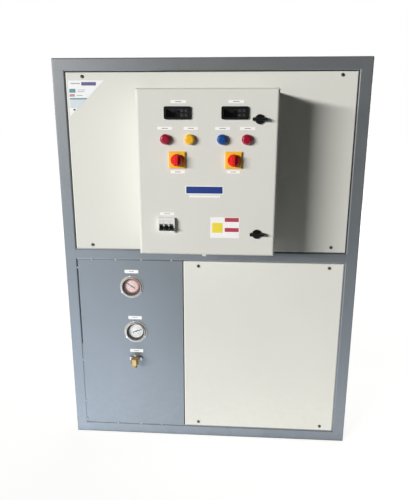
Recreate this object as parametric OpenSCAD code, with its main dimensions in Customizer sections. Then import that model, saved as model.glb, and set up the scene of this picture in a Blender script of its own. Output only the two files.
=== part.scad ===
// Air cooled water chiller: a welded tube frame closed by sheet panels, with a control box on its front,
// two panel gauges and a drain cock on the lower left, a condenser coil at the rear and a fan on top.
// The front faces -Y, +X is to the right and the origin is the middle of the footprint on the floor.

/* [Cabinet] */
// Width of the frame over the tubes
cab_w = 996; // [900:1:1200]
// Depth of the frame over the tubes
cab_d = 750; // [640:1:900]
// Height of the frame
cab_h = 1335; // [1310:1:1500]
// Side of the square tube
tube = 40; // [36:1:48]
// Corner radius of the tube
tube_r = 4; // [2:0.5:10]
// Height of the mid rail's underside above the floor
mid_rail_z = 683; // [640:1:690]
// Height of the mid rail
mid_rail_h = 34; // [26:1:38]

/* [Panels] */
// Gap between a panel and the frame
panel_gap = 2.5; // [2:0.5:5]
// Depth of a panel's folded edge
panel_depth = 14; // [10:1:20]
// Thickness of the panel sheet
panel_t = 2; // [1.5:0.5:3]
// Outer radius of a panel's folded edge
panel_edge_r = 4; // [2:0.5:4.5]
// Edge radius of the welded gauge plate
plate_edge_r = 1; // [0.5:0.5:2]
// Place of the seam between the gauge plate and the lower panel, from the middle
seam_x = -88; // [-120:1:60]
// Width of the flat bars behind the panels
strip_w = 30; // [24:1:40]
// Thickness of the flat bars behind the panels
strip_t = 4; // [3:0.5:6]

/* [Control box] */
// Place of the box's middle, to the right of the cabinet's middle
box_x = 5; // [-40:1:40]
// Height of the door's lower edge above the floor
door_z = 759; // [750:1:790]
// Width of the door
door_w = 400; // [390:1:460]
// Height of the door
door_h = 475; // [465:1:500]
// Depth of the box and its door, from the panel to the door's face
box_depth = 200; // [180:1:240]
// Depth of the door's folded edge
door_depth = 20; // [18:1:26]
// Gap between the door's folded edge and the box
door_gap = 7; // [6.8:0.2:9]
// Thickness of the box and door sheet
sheet_t = 2; // [1.5:0.5:3]
// Outer radius of the door's folded edge
door_edge_r = 8; // [3:0.5:9]
// Width of the lip around the box's mouth
lip_w = 18; // [14:1:22]
// Margin of the mounting plate inside the box
plate_margin = 25; // [22:1:40]
// Height of the studs behind the mounting plate
plate_standoff = 10; // [6:1:16]

/* [Hinges] */
// Radius of a hinge barrel
barrel_r = 3; // [2.5:0.1:3]
// Length of one barrel
barrel_l = 22; // [16:1:30]
// Radius of the hinge pin
pin_r = 1.6; // [1.2:0.1:1.8]
// Radial clearance of the pin
pin_clear = 0.06; // [0.04:0.01:0.1]
// Distance of a hinge from the door's upper or lower edge
hinge_inset = 70; // [50:1:110]
// Thickness of a hinge leaf
leaf_t = 2; // [1.5:0.5:2]
// Length of a leaf on the door's edge
door_leaf = 14; // [10:1:16]
// Length of a leaf on the box's side
box_leaf = 26; // [20:1:34]

/* [Door fittings] */
// Half the distance between the left and the right column of fittings
column_u = 80; // [76:1:86]
// Height of the controllers above the door's lower edge
ctl_w = 409; // [404:1:418]
// Width of a controller's bezel
ctl_bezel_w = 75; // [70:1:80]
// Height of a controller's bezel
ctl_bezel_h = 35; // [32:1:38]
// Shift of the controllers against the columns
ctl_shift = -2.5; // [-4:0.5:4]
// Height of the lamps above the door's lower edge
lamp_w = 337; // [332:1:344]
// Half the distance between the lamps of one column
lamp_pitch = 34.5; // [32:0.5:36]
// Shift of the lamps against the columns
lamp_shift = -2.5; // [-4:0.5:4]
// Radius of a lamp's lens
lens_r = 14; // [11.5:0.5:14]
// Radius of a lamp's bezel
lamp_bezel_r = 14.5; // [14.5:0.5:17]
// Radius of the lamp and switch necks in the door
neck_r = 11; // [9:0.5:11.5]
// Height of the switches above the door's lower edge
switch_w = 280; // [274:1:288]
// Shift of the switches against the columns
switch_shift = -4; // [-6:0.5:4]
// Side of a switch plate
switch_plate = 48; // [44:1:52]
// Radius of a switch knob
knob_r = 17; // [14:0.5:19]
// Distance of the breaker's middle from the door's left edge
breaker_inset = 83; // [70:1:100]
// Height of the breaker's middle above the door's lower edge
breaker_w = 91; // [80:1:110]
// Width of the breaker
breaker_width = 48; // [44:1:54]
// Height of the breaker
breaker_height = 43; // [40:1:50]
// Height of the breaker in front of the door
breaker_proud = 13; // [11:0.5:16]
// Distance of the latches from the door's right edge
latch_inset = 53.5; // [50:0.5:58]
// Height of the upper latch above the door's lower edge
upper_latch_w = 392; // [380:1:410]
// Height of the lower latch above the door's lower edge
lower_latch_w = 67; // [60:1:90]
// Radius of a latch's rosette
rosette_r = 13.5; // [11:0.5:15]
// Length of a latch's wing
wing_l = 41; // [32:1:46]
// Radius of a latch's shaft
latch_shaft_r = 5; // [4:0.5:6]

/* [Gauges and drain] */
// Place of the upper gauge from the cabinet's middle
upper_gauge_x = -269; // [-300:1:-230]
// Height of the upper gauge
upper_gauge_z = 584; // [560:1:610]
// Place of the lower gauge from the cabinet's middle
lower_gauge_x = -260; // [-300:1:-230]
// Height of the lower gauge
lower_gauge_z = 415; // [400:1:440]
// Radius of a gauge's flange
flange_r = 41; // [39:0.5:46]
// Radius of a gauge's case
case_r = 33.5; // [32:0.5:35]
// Direction of the upper gauge's pointer, from straight up towards the left
upper_pointer_deg = 58; // [30:1:80]
// Direction of the lower gauge's pointer, from straight up towards the left
lower_pointer_deg = -68; // [-80:1:-30]
// Place of the drain cock from the cabinet's middle
drain_x = -262; // [-300:1:-200]
// Height of the drain cock
drain_z = 312; // [290:1:330]
// Distance of the drain cock's spout from the plate
drain_axis = 26; // [22:0.5:30]
// Radius of the drain cock's hole in the plate
drain_hole_r = 9; // [7:0.5:10]
// Length of the drain cock's spout below its body
drain_spout_l = 10; // [8:0.5:30]

/* [Fan and coil] */
// Radius of the fan opening
fan_r = 255; // [220:1:280]
// Height of the fan ring
ring_h = 82; // [70:1:110]
// Radius of the fan ring's bell mouth
bell_r = 20; // [12:1:24]
// Radius of the fan's hub
hub_r = 78; // [60:1:95]
// Number of blades
blade_count = 5; // [4:1:7]
// Pitch of the blades
blade_pitch = 28; // [20:1:35]
// Distance between the guard's rings
guard_pitch = 30; // [24:1:45]
// Thickness of the guard's wire
guard_wire = 3; // [2.5:0.5:4]
// Depth of the condenser coil
coil_d = 60; // [45:1:80]
// Distance between the coil's fins
fin_pitch = 12; // [10:1:20]
// Thickness of a fin
fin_t = 4; // [3:0.5:6]

/* [Water sockets] */
// Radius of a water socket's bore
socket_bore_r = 19.5; // [12:0.5:25]
// Wall of a water socket
socket_wall = 6; // [4:0.5:9]
// Length of a water socket
socket_l = 60; // [40:1:90]
// Height of the water sockets
socket_z = 220; // [120:1:400]
// Distance between the water sockets
socket_pitch = 200; // [120:1:400]

/* [Hidden] */
$fn = 64;
eps = 0.5;

front_y = -cab_d / 2;
rear_y = cab_d / 2;
inner_w = cab_w - 2 * tube;
inner_d = cab_d - 2 * tube;
top_z = cab_h - tube;
weld_lap = 0.75 * tube_r;
base_socket_z = tube - weld_lap;
mid_top = mid_rail_z + mid_rail_h;
panel_w = inner_w - 2 * panel_gap;
side_panel_w = inner_d - 2 * panel_gap;
upper_z = mid_top + panel_gap;
upper_h = top_z - panel_gap - upper_z;
lower_z = tube + panel_gap;
lower_h = mid_rail_z - panel_gap - lower_z;
panel_x = panel_w / 2;
strip_y = front_y + panel_depth;
lower_panel_w = panel_x - seam_x - panel_gap / 2;
lower_panel_x = panel_x - lower_panel_w / 2;
plate_w = seam_x - panel_gap / 2 + panel_x;
plate_x = -panel_x + plate_w / 2;

door_y = front_y - box_depth;
door_back = door_y + door_depth;
box_y = door_back + door_gap;
box_body_d = front_y - box_y;
hinge_x = box_x - door_w / 2;
hinge_y = door_back + door_gap / 2;
hinge_zs = [door_z + hinge_inset, door_z + door_h - hinge_inset - 2 * barrel_l];
barrel_gap = 1;
fit_gap = 0.5;
run_gap = 0.06;

ctl_proud = 6;
ctl_body_w = ctl_bezel_w - 7;
ctl_body_h = ctl_bezel_h - 6;
ctl_body_l = 60;
ctl_corner_r = 5;
ctl_rim = 3.5;
ctl_recess = 1.5;
lens_l = 13;
lens_edge_r = 6;
lamp_bezel_t = 4;
lamp_body_l = 46;
nut_t = 4;
switch_proud = 7;
switch_step = 4;
switch_rim = 2.5;
switch_corner_r = 2;
switch_body = 44;
switch_body_l = 50;
knob_t = 11;
knob_gap = 1;
knob_chamfer = 2;
ridge_h = 12;
ridge_w = 13;
ridge_top_w = 8;
knob_shaft_r = 4;
breaker_body_l = 50;
toggle_r = 4;
toggle_in = 4;
toggle_reach = 14;
toggle_rest = -30;
toggle_bar_t = 5;
toggle_pin_r = 1.5;
toggle_pin_l = 1.5;
toggle_drop = 5;
pole_pitch = 15;
pole_slot_w = 12;
pole_groove = 1;
slot_half_h = 10;
nose_step_h = 5;
nose_step_d = 4;
breaker_body_side = 3;
latch_gap = 0.5;
latch_clear = 5;
tongue_t = 3;
tongue_w = 16;
tongue_overlap = 10;
rosette_t = 6;
rosette_chamfer = 2;
wing_t = 11;
wing_top_t = 7;
wing_h = 12;
gasket_w = 10;
gasket_h = 5;
gasket_inset = 6;

flange_t = 2;
flange_chamfer = 0.8;
bezel_l = 8;
bezel_t = 2;
bezel_foot = 3.5;
bezel_round = 1.5;
case_l = 32;
case_back_t = 4;
dial_r = case_r - bezel_t - fit_gap;
dial_t = 1;
lens_t = 2;
lens_y = 2;
dial_y = 5;
pointer_gap = 1;
pointer_t = 1;
pointer_l = 24;
pointer_tail = 13;
pointer_tail_w = 3.2;
pointer_tip_w = 1;
arbor_r = 1;
arbor_l = 3.2;
pointer_hub_r = 3;

guard_stand = 4;
guard_bar = 6;
guard_bars = 6;
guard_hub_r = 25;
ring_t = 2;
bell_flange = 12;
bell_step_deg = 15;
hub_h = 50;
tip_gap = 8;
blade_t = 3;
blade_angle = 44;
blade_margin = 3;
camber_r = 180;
hub_chamfer = 8;
motor_r = 60;
motor_h = 70;
arm_t = 6;
arm_w = 30;
arm_count = 3;
floor_t = 2;
floor_lap = 1;
coil_frame_t = 3;
fin_depth = 14;
coil_gap = 2;
socket_out = 30;

steel_grey = "#8b929a";
cream = "#e6e6df";

// Square with rounded corners, centred
module round_square(w, h, r) {
    square([w - 2 * r, h], center = true);
    square([w, h - 2 * r], center = true);
    for (x = [-1, 1], y = [-1, 1])
        translate([x * (w / 2 - r), y * (h / 2 - r)]) circle(r = r);
}

// Tube of length l along X, centred, with its section h high and d deep
module bar_x(l, d, h, r) {
    translate([-l / 2, 0, 0]) rotate([90, 0, 90]) linear_extrude(l) round_square(d, h, r);
}

// Tube along X with both ends mitred and both outer corners rounded, its outer side towards -Y
module mitred_bar(l) {
    difference() {
        bar_x(l, tube, tube, tube_r);
        for (side = [-1, 1])
            translate([side * l / 2, -tube / 2, 0]) rotate([0, 0, side * 45])
                translate([side > 0 ? 0 : -2 * tube, -tube, -tube]) cube([2 * tube, 4 * tube, 2 * tube]);
        translate([-l / 2, -tube / 2, 0]) rotate([0, 90, 0]) edge_cut(tube, tube_r);
        translate([l / 2, -tube / 2, 0]) mirror([1, 0, 0]) rotate([0, 90, 0]) edge_cut(tube, tube_r);
    }
}

// Sockets for the posts' ends in a ring of rails, from height z upwards
module post_sockets(z) {
    for (x = [-1, 1], y = [-1, 1])
        translate([x * ((cab_w - tube) / 2 + eps), y * ((cab_d - tube) / 2 + eps), z + weld_lap / 2])
            cube([tube + 2 * eps, tube + 2 * eps, weld_lap], center = true);
}

// Ring of rails: front and rear
module long_rails(z, socket_base) {
    difference() {
        for (turn = [0, 180])
            rotate([0, 0, turn]) translate([0, front_y + tube / 2, z + tube / 2]) mitred_bar(cab_w);
        post_sockets(socket_base);
    }
}

// Ring of rails: left and right
module side_rails(z, socket_base) {
    difference() {
        for (turn = [90, 270])
            rotate([0, 0, turn]) translate([0, -cab_w / 2 + tube / 2, z + tube / 2]) mitred_bar(cab_d);
        post_sockets(socket_base);
    }
}

// Posts that reach into the rounding of the rails above and below, so that the joints are flush
module post_tubes() {
    for (x = [-1, 1], y = [-1, 1])
        translate([x * (cab_w - tube) / 2, y * (cab_d - tube) / 2, base_socket_z])
            linear_extrude(top_z + weld_lap - base_socket_z) round_square(tube, tube, tube_r);
}

// Cutter that rounds an edge along X at y = 0, z = 0
module edge_cut(l, r) {
    difference() {
        translate([-l / 2 - eps, -eps, -eps]) cube([l + 2 * eps, r + eps, r + eps]);
        translate([-l / 2 - 2 * eps, r, r]) rotate([0, 90, 0]) cylinder(r = r, h = l + 4 * eps);
    }
}

// Block with its face at y = 0 towards -Y, centred on x, standing on z = 0, its front edges rounded
module soft_block(w, h, d, r) {
    difference() {
        translate([-w / 2, 0, 0]) cube([w, d, h]);
        if (r > 0) {
            edge_cut(w, r);
            translate([0, 0, h]) mirror([0, 0, 1]) edge_cut(w, r);
            translate([-w / 2, 0, h / 2]) rotate([0, 90, 0]) edge_cut(h, r);
            translate([w / 2, 0, h / 2]) mirror([1, 0, 0]) rotate([0, 90, 0]) edge_cut(h, r);
        }
    }
}

// Folded sheet tray with the same thickness round its edges, placed as the block
module tray(w, h, d, t, r) {
    difference() {
        soft_block(w, h, d, r);
        translate([0, t, t]) soft_block(w - 2 * t, h - 2 * t, d, r - t);
    }
}

module panel(w, h) { tray(w, h, panel_depth, panel_t, panel_edge_r); }

// Round bar along +Y from y = 0
module rod_y(r, l) { rotate([-90, 0, 0]) cylinder(r = r, h = l); }

// Disc along -Y from y = 0 with its front edge chamfered
module chamfered_disc(r, h, c) {
    rotate([90, 0, 0]) rotate_extrude() polygon([[0, 0], [r, 0], [r, h - c], [r - c, h], [0, h]]);
}

// Slab along -Y from y = 0 with rounded corners
module round_slab(w, h, t, r) { rotate([90, 0, 0]) linear_extrude(t) round_square(w, h, r); }

// Grip bar along Z that narrows from its foot at y = 0 towards -Y
module grip(w, top_w, h, l) {
    translate([0, 0, -l / 2]) linear_extrude(l)
        polygon([[-w / 2, eps], [w / 2, eps], [top_w / 2, -h], [-top_w / 2, -h]]);
}

// Places on the door, from its middle and its lower edge
module on_door(u, w) { translate([box_x + u, door_y, door_z + w]) children(); }

column_us = [-column_u, column_u];
ctl_us = [for (u = column_us) u + ctl_shift];
lamp_us = [for (u = column_us, s = [-1, 1]) u + s * lamp_pitch + lamp_shift];
switch_us = [for (u = column_us) u + switch_shift];
latch_ws = [lower_latch_w, upper_latch_w];
breaker_u = -door_w / 2 + breaker_inset;
latch_u = door_w / 2 - latch_inset;
gauge_places = [[upper_gauge_x, upper_gauge_z], [lower_gauge_x, lower_gauge_z]];

module on_gauge(i) { translate([gauge_places[i][0], front_y, gauge_places[i][1]]) children(); }

module base_long_rails() { color(steel_grey) long_rails(0, base_socket_z); }

module base_side_rails() { color(steel_grey) side_rails(0, base_socket_z); }

// Tube under the middle of the base, from the front rail to the rear rail
module base_cross_rail() {
    color(steel_grey) translate([0, 0, tube / 2]) rotate([0, 0, 90]) bar_x(inner_d, tube, tube, tube_r);
}

module base_pan() {
    front = strip_y + strip_t + floor_lap;
    color("gainsboro") translate([-inner_w / 2 + floor_lap, front, tube])
        cube([inner_w - 2 * floor_lap, -2 * front, floor_t]);
}

module top_long_rails() { color(steel_grey) long_rails(top_z, top_z); }

module top_side_rails() { color(steel_grey) side_rails(top_z, top_z); }

module corner_posts() { color(steel_grey) post_tubes(); }

// Mid rails have their ends coped to the posts' rounding
module mid_long_rails() {
    color(steel_grey) difference() {
        for (y = [-1, 1])
            translate([0, y * (cab_d - tube) / 2, mid_rail_z + mid_rail_h / 2])
                bar_x(inner_w + 2 * weld_lap, tube, mid_rail_h, tube_r);
        post_tubes();
    }
}

// The posts' inner corners are left to the long rails
module mid_side_rails() {
    color(steel_grey) difference() {
        for (x = [-1, 1])
            translate([x * (cab_w - tube) / 2, 0, mid_rail_z + mid_rail_h / 2])
                rotate([0, 0, 90]) bar_x(inner_d + 2 * weld_lap, tube, mid_rail_h, tube_r);
        post_tubes();
        for (x = [-1, 1], y = [-1, 1])
            translate([x * (inner_w + weld_lap) / 2, y * (inner_d + weld_lap) / 2, mid_rail_z + mid_rail_h / 2])
                cube([weld_lap + 2 * eps, weld_lap, mid_rail_h + 2 * eps], center = true);
    }
}

// Flat bar along X, its face at y = 0
module flat_x(l) { translate([-l / 2, 0, 0]) cube([l, strip_t, strip_w]); }

module bay_flats(l, out, zs) { for (z = zs) translate([0, -out + panel_depth, z]) flat_x(l); }

module panel_strips() {
    upper = [mid_top, top_z - strip_w];
    lower = [tube, mid_rail_z - strip_w];
    color("dimgray") {
        bay_flats(inner_w, cab_d / 2, upper);
        bay_flats(inner_w, cab_d / 2, lower);
        rotate([0, 0, 180]) bay_flats(inner_w, cab_d / 2, lower);
        for (turn = [90, 270])
            rotate([0, 0, turn]) bay_flats(inner_d, cab_w / 2, concat(upper, lower));
        for (y = [-inner_d / 2, inner_d / 2 - strip_w])
            translate([-inner_w / 2, y, cab_h - panel_depth - strip_t]) cube([inner_w, strip_w, strip_t]);
    }
}

// Upright flat bar behind the seam of the lower front
module seam_bar() {
    color("dimgray") translate([seam_x - strip_w / 2, strip_y, tube + strip_w])
        cube([strip_w, strip_t, mid_rail_z - tube - 2 * strip_w]);
}

module upper_front_panel() {
    color(cream) translate([0, front_y, upper_z]) panel(panel_w, upper_h);
}

module lower_front_panel() {
    color(cream) translate([lower_panel_x, front_y, lower_z]) panel(lower_panel_w, lower_h);
}

module gauge_plate() {
    color(steel_grey) difference() {
        translate([plate_x, front_y, lower_z]) tray(plate_w, lower_h, panel_depth, panel_t, plate_edge_r);
        for (i = [0, 1]) on_gauge(i) translate([0, -eps, 0]) rod_y(case_r + fit_gap, panel_t + 2 * eps);
        translate([drain_x, front_y - eps, drain_z]) rod_y(drain_hole_r + fit_gap, panel_t + 2 * eps);
    }
}

module side_panel_pair(turn) {
    rotate([0, 0, turn]) translate([0, -cab_w / 2, 0]) {
        translate([0, 0, upper_z]) panel(side_panel_w, upper_h);
        translate([0, 0, lower_z]) panel(side_panel_w, lower_h);
    }
}

module left_panels() { color(cream) side_panel_pair(270); }

module right_panels() { color(cream) side_panel_pair(90); }

socket_xs = [-socket_pitch / 2, socket_pitch / 2];

module rear_panel() {
    color(cream) difference() {
        rotate([0, 0, 180]) translate([0, front_y, lower_z]) panel(panel_w, lower_h);
        for (x = socket_xs)
            translate([x, rear_y - panel_t - eps, socket_z])
                rod_y(socket_bore_r + socket_wall + fit_gap, panel_t + 2 * eps);
    }
}

module water_sockets() {
    outer_r = socket_bore_r + socket_wall;
    collar_r = outer_r + socket_wall;
    color("silver") for (x = socket_xs)
        translate([x, rear_y + socket_out - socket_l, socket_z]) difference() {
            union() {
                rod_y(outer_r, socket_l);
                translate([0, socket_l - socket_out, 0]) rod_y(collar_r, socket_wall);
            }
            translate([0, -eps, 0]) rod_y(socket_bore_r, socket_l + 2 * eps);
        }
}

module plenum_floor() {
    front = strip_y + strip_t + floor_lap;
    color("gainsboro") translate([-inner_w / 2 + floor_lap, front, mid_top])
        cube([inner_w - 2 * floor_lap, rear_y - floor_lap - front, floor_t]);
}

module condenser_coil() {
    w = panel_w;
    z = mid_top + floor_t;
    h = top_z - panel_gap - z;
    first = -w / 2 + coil_frame_t + fin_pitch;
    color("lightsteelblue") translate([0, rear_y - coil_gap - coil_d, z]) difference() {
        translate([-w / 2, 0, 0]) cube([w, coil_d, h]);
        for (x = [first : fin_pitch : w / 2 - coil_frame_t - fin_t])
            translate([x - fin_pitch + fin_t, coil_d - fin_depth, coil_frame_t])
                cube([fin_pitch - fin_t, fin_depth + eps, h - 2 * coil_frame_t]);
    }
}

module top_panel() {
    color(cream) difference() {
        translate([0, -side_panel_w / 2, cab_h]) rotate([-90, 0, 0]) panel(panel_w, side_panel_w);
        translate([0, 0, cab_h - panel_t - eps]) cylinder(r = fan_r, h = panel_t + 2 * eps);
    }
}

ring_top = cab_h - panel_t;
ring_z = ring_top - ring_h;

bell_reach = fan_r + bell_r + bell_flange;

// Quarter arc of the bell mouth's section
function bell_arc(r, angles) = [for (a = angles) [fan_r + bell_r - r * cos(a), bell_r - r * sin(a)]];

// Straight throat that flares into a bell mouth with a flat flange at its lower end
module fan_ring() {
    color(steel_grey) translate([0, 0, ring_z]) rotate_extrude($fn = 96) polygon(concat(
        [[fan_r + ring_t, ring_h], [fan_r, ring_h]],
        bell_arc(bell_r, [0 : bell_step_deg : 90]),
        [[bell_reach, 0], [bell_reach, ring_t]],
        bell_arc(bell_r - ring_t, [90 : -bell_step_deg : 0])
    ));
}

// One flat ring of the guard
module guard_ring(r) {
    difference() {
        cylinder(r = r + guard_wire / 2, h = guard_wire);
        translate([0, 0, -eps]) cylinder(r = r - guard_wire / 2, h = guard_wire + 2 * eps);
    }
}

module fan_guard() {
    reach = fan_r + guard_bar;
    color("black") translate([0, 0, cab_h + guard_stand]) {
        translate([0, 0, -guard_stand]) difference() {
            cylinder(r = reach, h = guard_stand);
            translate([0, 0, -eps]) cylinder(r = reach - guard_wire, h = guard_stand + 2 * eps);
        }
        for (i = [0 : guard_bars - 1])
            rotate([0, 0, i * 180 / guard_bars])
                translate([-reach, -guard_bar / 2, 0]) cube([2 * reach, guard_bar, guard_wire]);
        translate([0, 0, guard_wire]) {
            for (r = [fan_r : -guard_pitch : guard_hub_r + guard_pitch / 2]) guard_ring(r);
            cylinder(r = guard_hub_r, h = guard_wire);
        }
    }
}

hub_z = ring_z + arm_t;

// One blade: a slice of a thin round shell that lies along the radius, cut to the fan's annulus
module blade() {
    sweep = blade_angle / 2;
    reach = 2 * fan_r;
    intersection() {
        difference() {
            translate([0, 0, blade_margin]) cylinder(r = fan_r - tip_gap, h = hub_h - 2 * blade_margin);
            translate([0, 0, -eps]) cylinder(r = hub_r - blade_t, h = hub_h + 2 * eps);
        }
        linear_extrude(hub_h) polygon([
            [0, 0], [reach * cos(sweep), -reach * sin(sweep)], [reach * cos(sweep), reach * sin(sweep)]
        ]);
        translate([0, 0, hub_h / 2]) rotate([blade_pitch, 0, 0]) translate([0, 0, -camber_r])
            rotate([0, 90, 0]) difference() {
                cylinder(r = camber_r + blade_t / 2, h = fan_r);
                translate([0, 0, -eps]) cylinder(r = camber_r - blade_t / 2, h = fan_r + 2 * eps);
            }
    }
}

module fan_rotor() {
    color("dimgray") translate([0, 0, hub_z]) {
        rotate_extrude() polygon([
            [0, 0], [hub_r, 0], [hub_r, hub_h - hub_chamfer], [hub_r - hub_chamfer, hub_h], [0, hub_h]
        ]);
        for (i = [0 : blade_count - 1]) rotate([0, 0, i * 360 / blade_count]) blade();
    }
}

module fan_motor() {
    color("black") {
        translate([0, 0, hub_z - motor_h]) cylinder(r = motor_r, h = motor_h);
        for (i = [0 : arm_count - 1])
            rotate([0, 0, i * 360 / arm_count]) translate([0, -arm_w / 2, ring_z - arm_t])
                cube([bell_reach, arm_w, arm_t]);
    }
}

module control_box() {
    color(cream) translate([box_x, box_y, door_z]) difference() {
        translate([-door_w / 2, 0, 0]) cube([door_w, box_body_d, door_h]);
        translate([-door_w / 2 + sheet_t, sheet_t, sheet_t])
            cube([door_w - 2 * sheet_t, box_body_d - 2 * sheet_t, door_h - 2 * sheet_t]);
        translate([-door_w / 2 + lip_w, -eps, lip_w])
            cube([door_w - 2 * lip_w, sheet_t + 2 * eps, door_h - 2 * lip_w]);
    }
}

module mounting_plate() {
    w = door_w - 2 * plate_margin;
    h = door_h - 2 * plate_margin;
    stud_r = plate_standoff / 2;
    back = front_y - sheet_t;
    color("silver") translate([box_x, back - plate_standoff - sheet_t, door_z + plate_margin]) {
        translate([-w / 2, 0, 0]) cube([w, sheet_t, h]);
        for (x = [-1, 1], z = [0, 1])
            translate([x * (w / 2 - 2 * stud_r), sheet_t, z * h + (1 - 2 * z) * 2 * stud_r])
                rod_y(stud_r, plate_standoff);
    }
}

module box_gasket() {
    w = door_w - 2 * gasket_inset;
    h = door_h - 2 * gasket_inset;
    color("black") translate([box_x, box_y - gasket_h, door_z + gasket_inset]) difference() {
        translate([-w / 2, 0, 0]) cube([w, gasket_h, h]);
        translate([-w / 2 + gasket_w, -eps, gasket_w])
            cube([w - 2 * gasket_w, gasket_h + 2 * eps, h - 2 * gasket_w]);
    }
}

module box_hinges() {
    color("dimgray") for (z = hinge_zs) translate([hinge_x, hinge_y, z]) difference() {
        union() {
            cylinder(r = barrel_r, h = barrel_l - barrel_gap);
            translate([-leaf_t, 0, 0]) cube([leaf_t, box_leaf, barrel_l - barrel_gap]);
        }
        translate([0, 0, -eps]) cylinder(r = pin_r + pin_clear, h = barrel_l + 2 * eps);
    }
}

module door_hinges() {
    color("dimgray") for (z = hinge_zs) translate([hinge_x, hinge_y, z]) {
        cylinder(r = pin_r, h = barrel_l + eps);
        translate([0, 0, barrel_l]) {
            cylinder(r = barrel_r, h = barrel_l);
            translate([-leaf_t, -door_leaf, 0]) cube([leaf_t, door_leaf, barrel_l]);
        }
    }
}

// Block cut through the door's sheet, centred
module door_cut(w, h) { translate([-w / 2, -eps, -h / 2]) cube([w, sheet_t + 2 * eps, h]); }

module door_hole(r) { translate([0, -eps, 0]) rod_y(r, sheet_t + 2 * eps); }

module control_door() {
    color(cream) difference() {
        translate([box_x, door_y, door_z]) tray(door_w, door_h, door_depth, sheet_t, door_edge_r);
        for (u = ctl_us) on_door(u, ctl_w) door_cut(ctl_body_w + 2 * fit_gap, ctl_body_h + 2 * fit_gap);
        for (u = lamp_us) on_door(u, lamp_w) door_hole(neck_r + fit_gap);
        for (u = switch_us) on_door(u, switch_w) door_hole(neck_r + fit_gap);
        on_door(breaker_u, breaker_w)
            door_cut(breaker_width - 2 * breaker_body_side, breaker_height - 2 * breaker_body_side);
        for (w = latch_ws) on_door(latch_u, w) door_hole(latch_shaft_r + run_gap);
    }
}

// Block centred on x and z, from y = 0 along +Y
module block(w, h, l) { translate([-w / 2, 0, -h / 2]) cube([w, l, h]); }

module controllers() {
    color("black") for (u = ctl_us) on_door(u, ctl_w) {
        difference() {
            round_slab(ctl_bezel_w, ctl_bezel_h, ctl_proud, ctl_corner_r);
            translate([0, -ctl_proud - eps, 0])
                block(ctl_bezel_w - 2 * ctl_rim, ctl_bezel_h - 2 * ctl_rim, ctl_recess + eps);
        }
        block(ctl_body_w, ctl_body_h, ctl_body_l);
    }
}

module lamp_bezels() {
    color("silver") for (u = lamp_us) on_door(u, lamp_w) {
        translate([0, -lamp_bezel_t, 0]) rod_y(lamp_bezel_r, lamp_bezel_t);
        rod_y(neck_r, lamp_body_l);
        translate([0, sheet_t, 0]) rod_y(lamp_bezel_r, nut_t);
    }
}

// Lens of a lamp, its flat back at y = 0 and its rounded front edge towards -Y
module lens() {
    rotate([90, 0, 0]) rotate_extrude() {
        square([lens_r - lens_edge_r, lens_l]);
        square([lens_r, lens_l - lens_edge_r]);
        translate([lens_r - lens_edge_r, lens_l - lens_edge_r]) circle(r = lens_edge_r);
    }
}

module lens_at(i) { on_door(lamp_us[i], lamp_w) translate([0, -lamp_bezel_t, 0]) lens(); }

module red_lenses() { color("crimson") for (i = [0, 3]) lens_at(i); }

module yellow_lens() { color("gold") lens_at(1); }

module blue_lens() { color("royalblue") lens_at(2); }

switch_face = switch_plate - 2 * switch_rim;

module switch_plates() {
    color("orange") for (u = switch_us) on_door(u, switch_w) difference() {
        union() {
            round_slab(switch_plate, switch_plate, switch_step, switch_corner_r);
            round_slab(switch_face, switch_face, switch_proud, switch_corner_r);
            rod_y(neck_r, sheet_t + eps);
            translate([0, sheet_t, 0]) block(switch_body, switch_body, switch_body_l);
        }
        translate([0, -switch_proud - eps, 0]) rod_y(knob_shaft_r + run_gap, 3 * switch_proud);
    }
}

module knob(u) {
    color("red") on_door(u, switch_w) translate([0, -switch_proud - knob_gap, 0]) {
        chamfered_disc(knob_r, knob_t, knob_chamfer);
        translate([0, -knob_t, 0]) intersection() {
            grip(ridge_w, ridge_top_w, ridge_h, 2 * knob_r);
            translate([0, -ridge_h - eps, 0]) rod_y(knob_r - knob_chamfer, ridge_h + 2 * eps);
        }
        rod_y(knob_shaft_r, 2 * switch_proud);
    }
}

module left_knob() { knob(switch_us[0]); }

module right_knob() { knob(switch_us[1]); }

slot_w = 2 * pole_pitch + pole_slot_w;
poles = [-1, 0, 1];

// Round bar along X, centred
module rod_x(r, l) { rotate([0, 90, 0]) cylinder(r = r, h = l, center = true); }

// Stepped nose of three poles with a slot in each, and the body behind the door
module breaker() {
    color("whitesmoke") on_door(breaker_u, breaker_w) difference() {
        union() {
            translate([0, -breaker_proud, 0]) block(breaker_width, breaker_height, breaker_proud);
            block(breaker_width - 2 * breaker_body_side - 2 * fit_gap,
                breaker_height - 2 * breaker_body_side - 2 * fit_gap, breaker_body_l);
        }
        for (side = [-1, 1]) {
            translate([0, -breaker_proud - eps, side * (breaker_height - nose_step_h) / 2])
                block(breaker_width + 2 * eps, nose_step_h + eps, nose_step_d + eps);
            translate([side * breaker_width / 6, -breaker_proud - eps, 0])
                block(pole_groove, breaker_height + 2 * eps, pole_groove + eps);
        }
        translate([0, -breaker_proud, -toggle_drop]) {
            for (pole = poles)
                translate([pole * pole_pitch, -eps, 0]) block(pole_slot_w, 2 * slot_half_h, breaker_proud);
            translate([0, toggle_in, 0]) {
                rod_x(toggle_r + fit_gap, slot_w);
                rod_x(toggle_pin_r + pin_clear, slot_w + 2 * toggle_pin_l + 2 * fit_gap);
            }
        }
    }
}

// Three handles ganged on one barrel
module breaker_toggle() {
    handle_w = pole_slot_w - 2 * fit_gap;
    color("black") on_door(breaker_u, breaker_w) translate([0, toggle_in - breaker_proud, -toggle_drop]) {
        rod_x(toggle_r, slot_w - 2 * fit_gap);
        rod_x(toggle_pin_r, slot_w + 2 * toggle_pin_l);
        for (pole = poles)
            rotate([-toggle_rest, 0, 0])
                translate([pole * pole_pitch - handle_w / 2, -toggle_reach, -toggle_bar_t / 2])
                    cube([handle_w, toggle_reach, toggle_bar_t]);
    }
}

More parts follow.
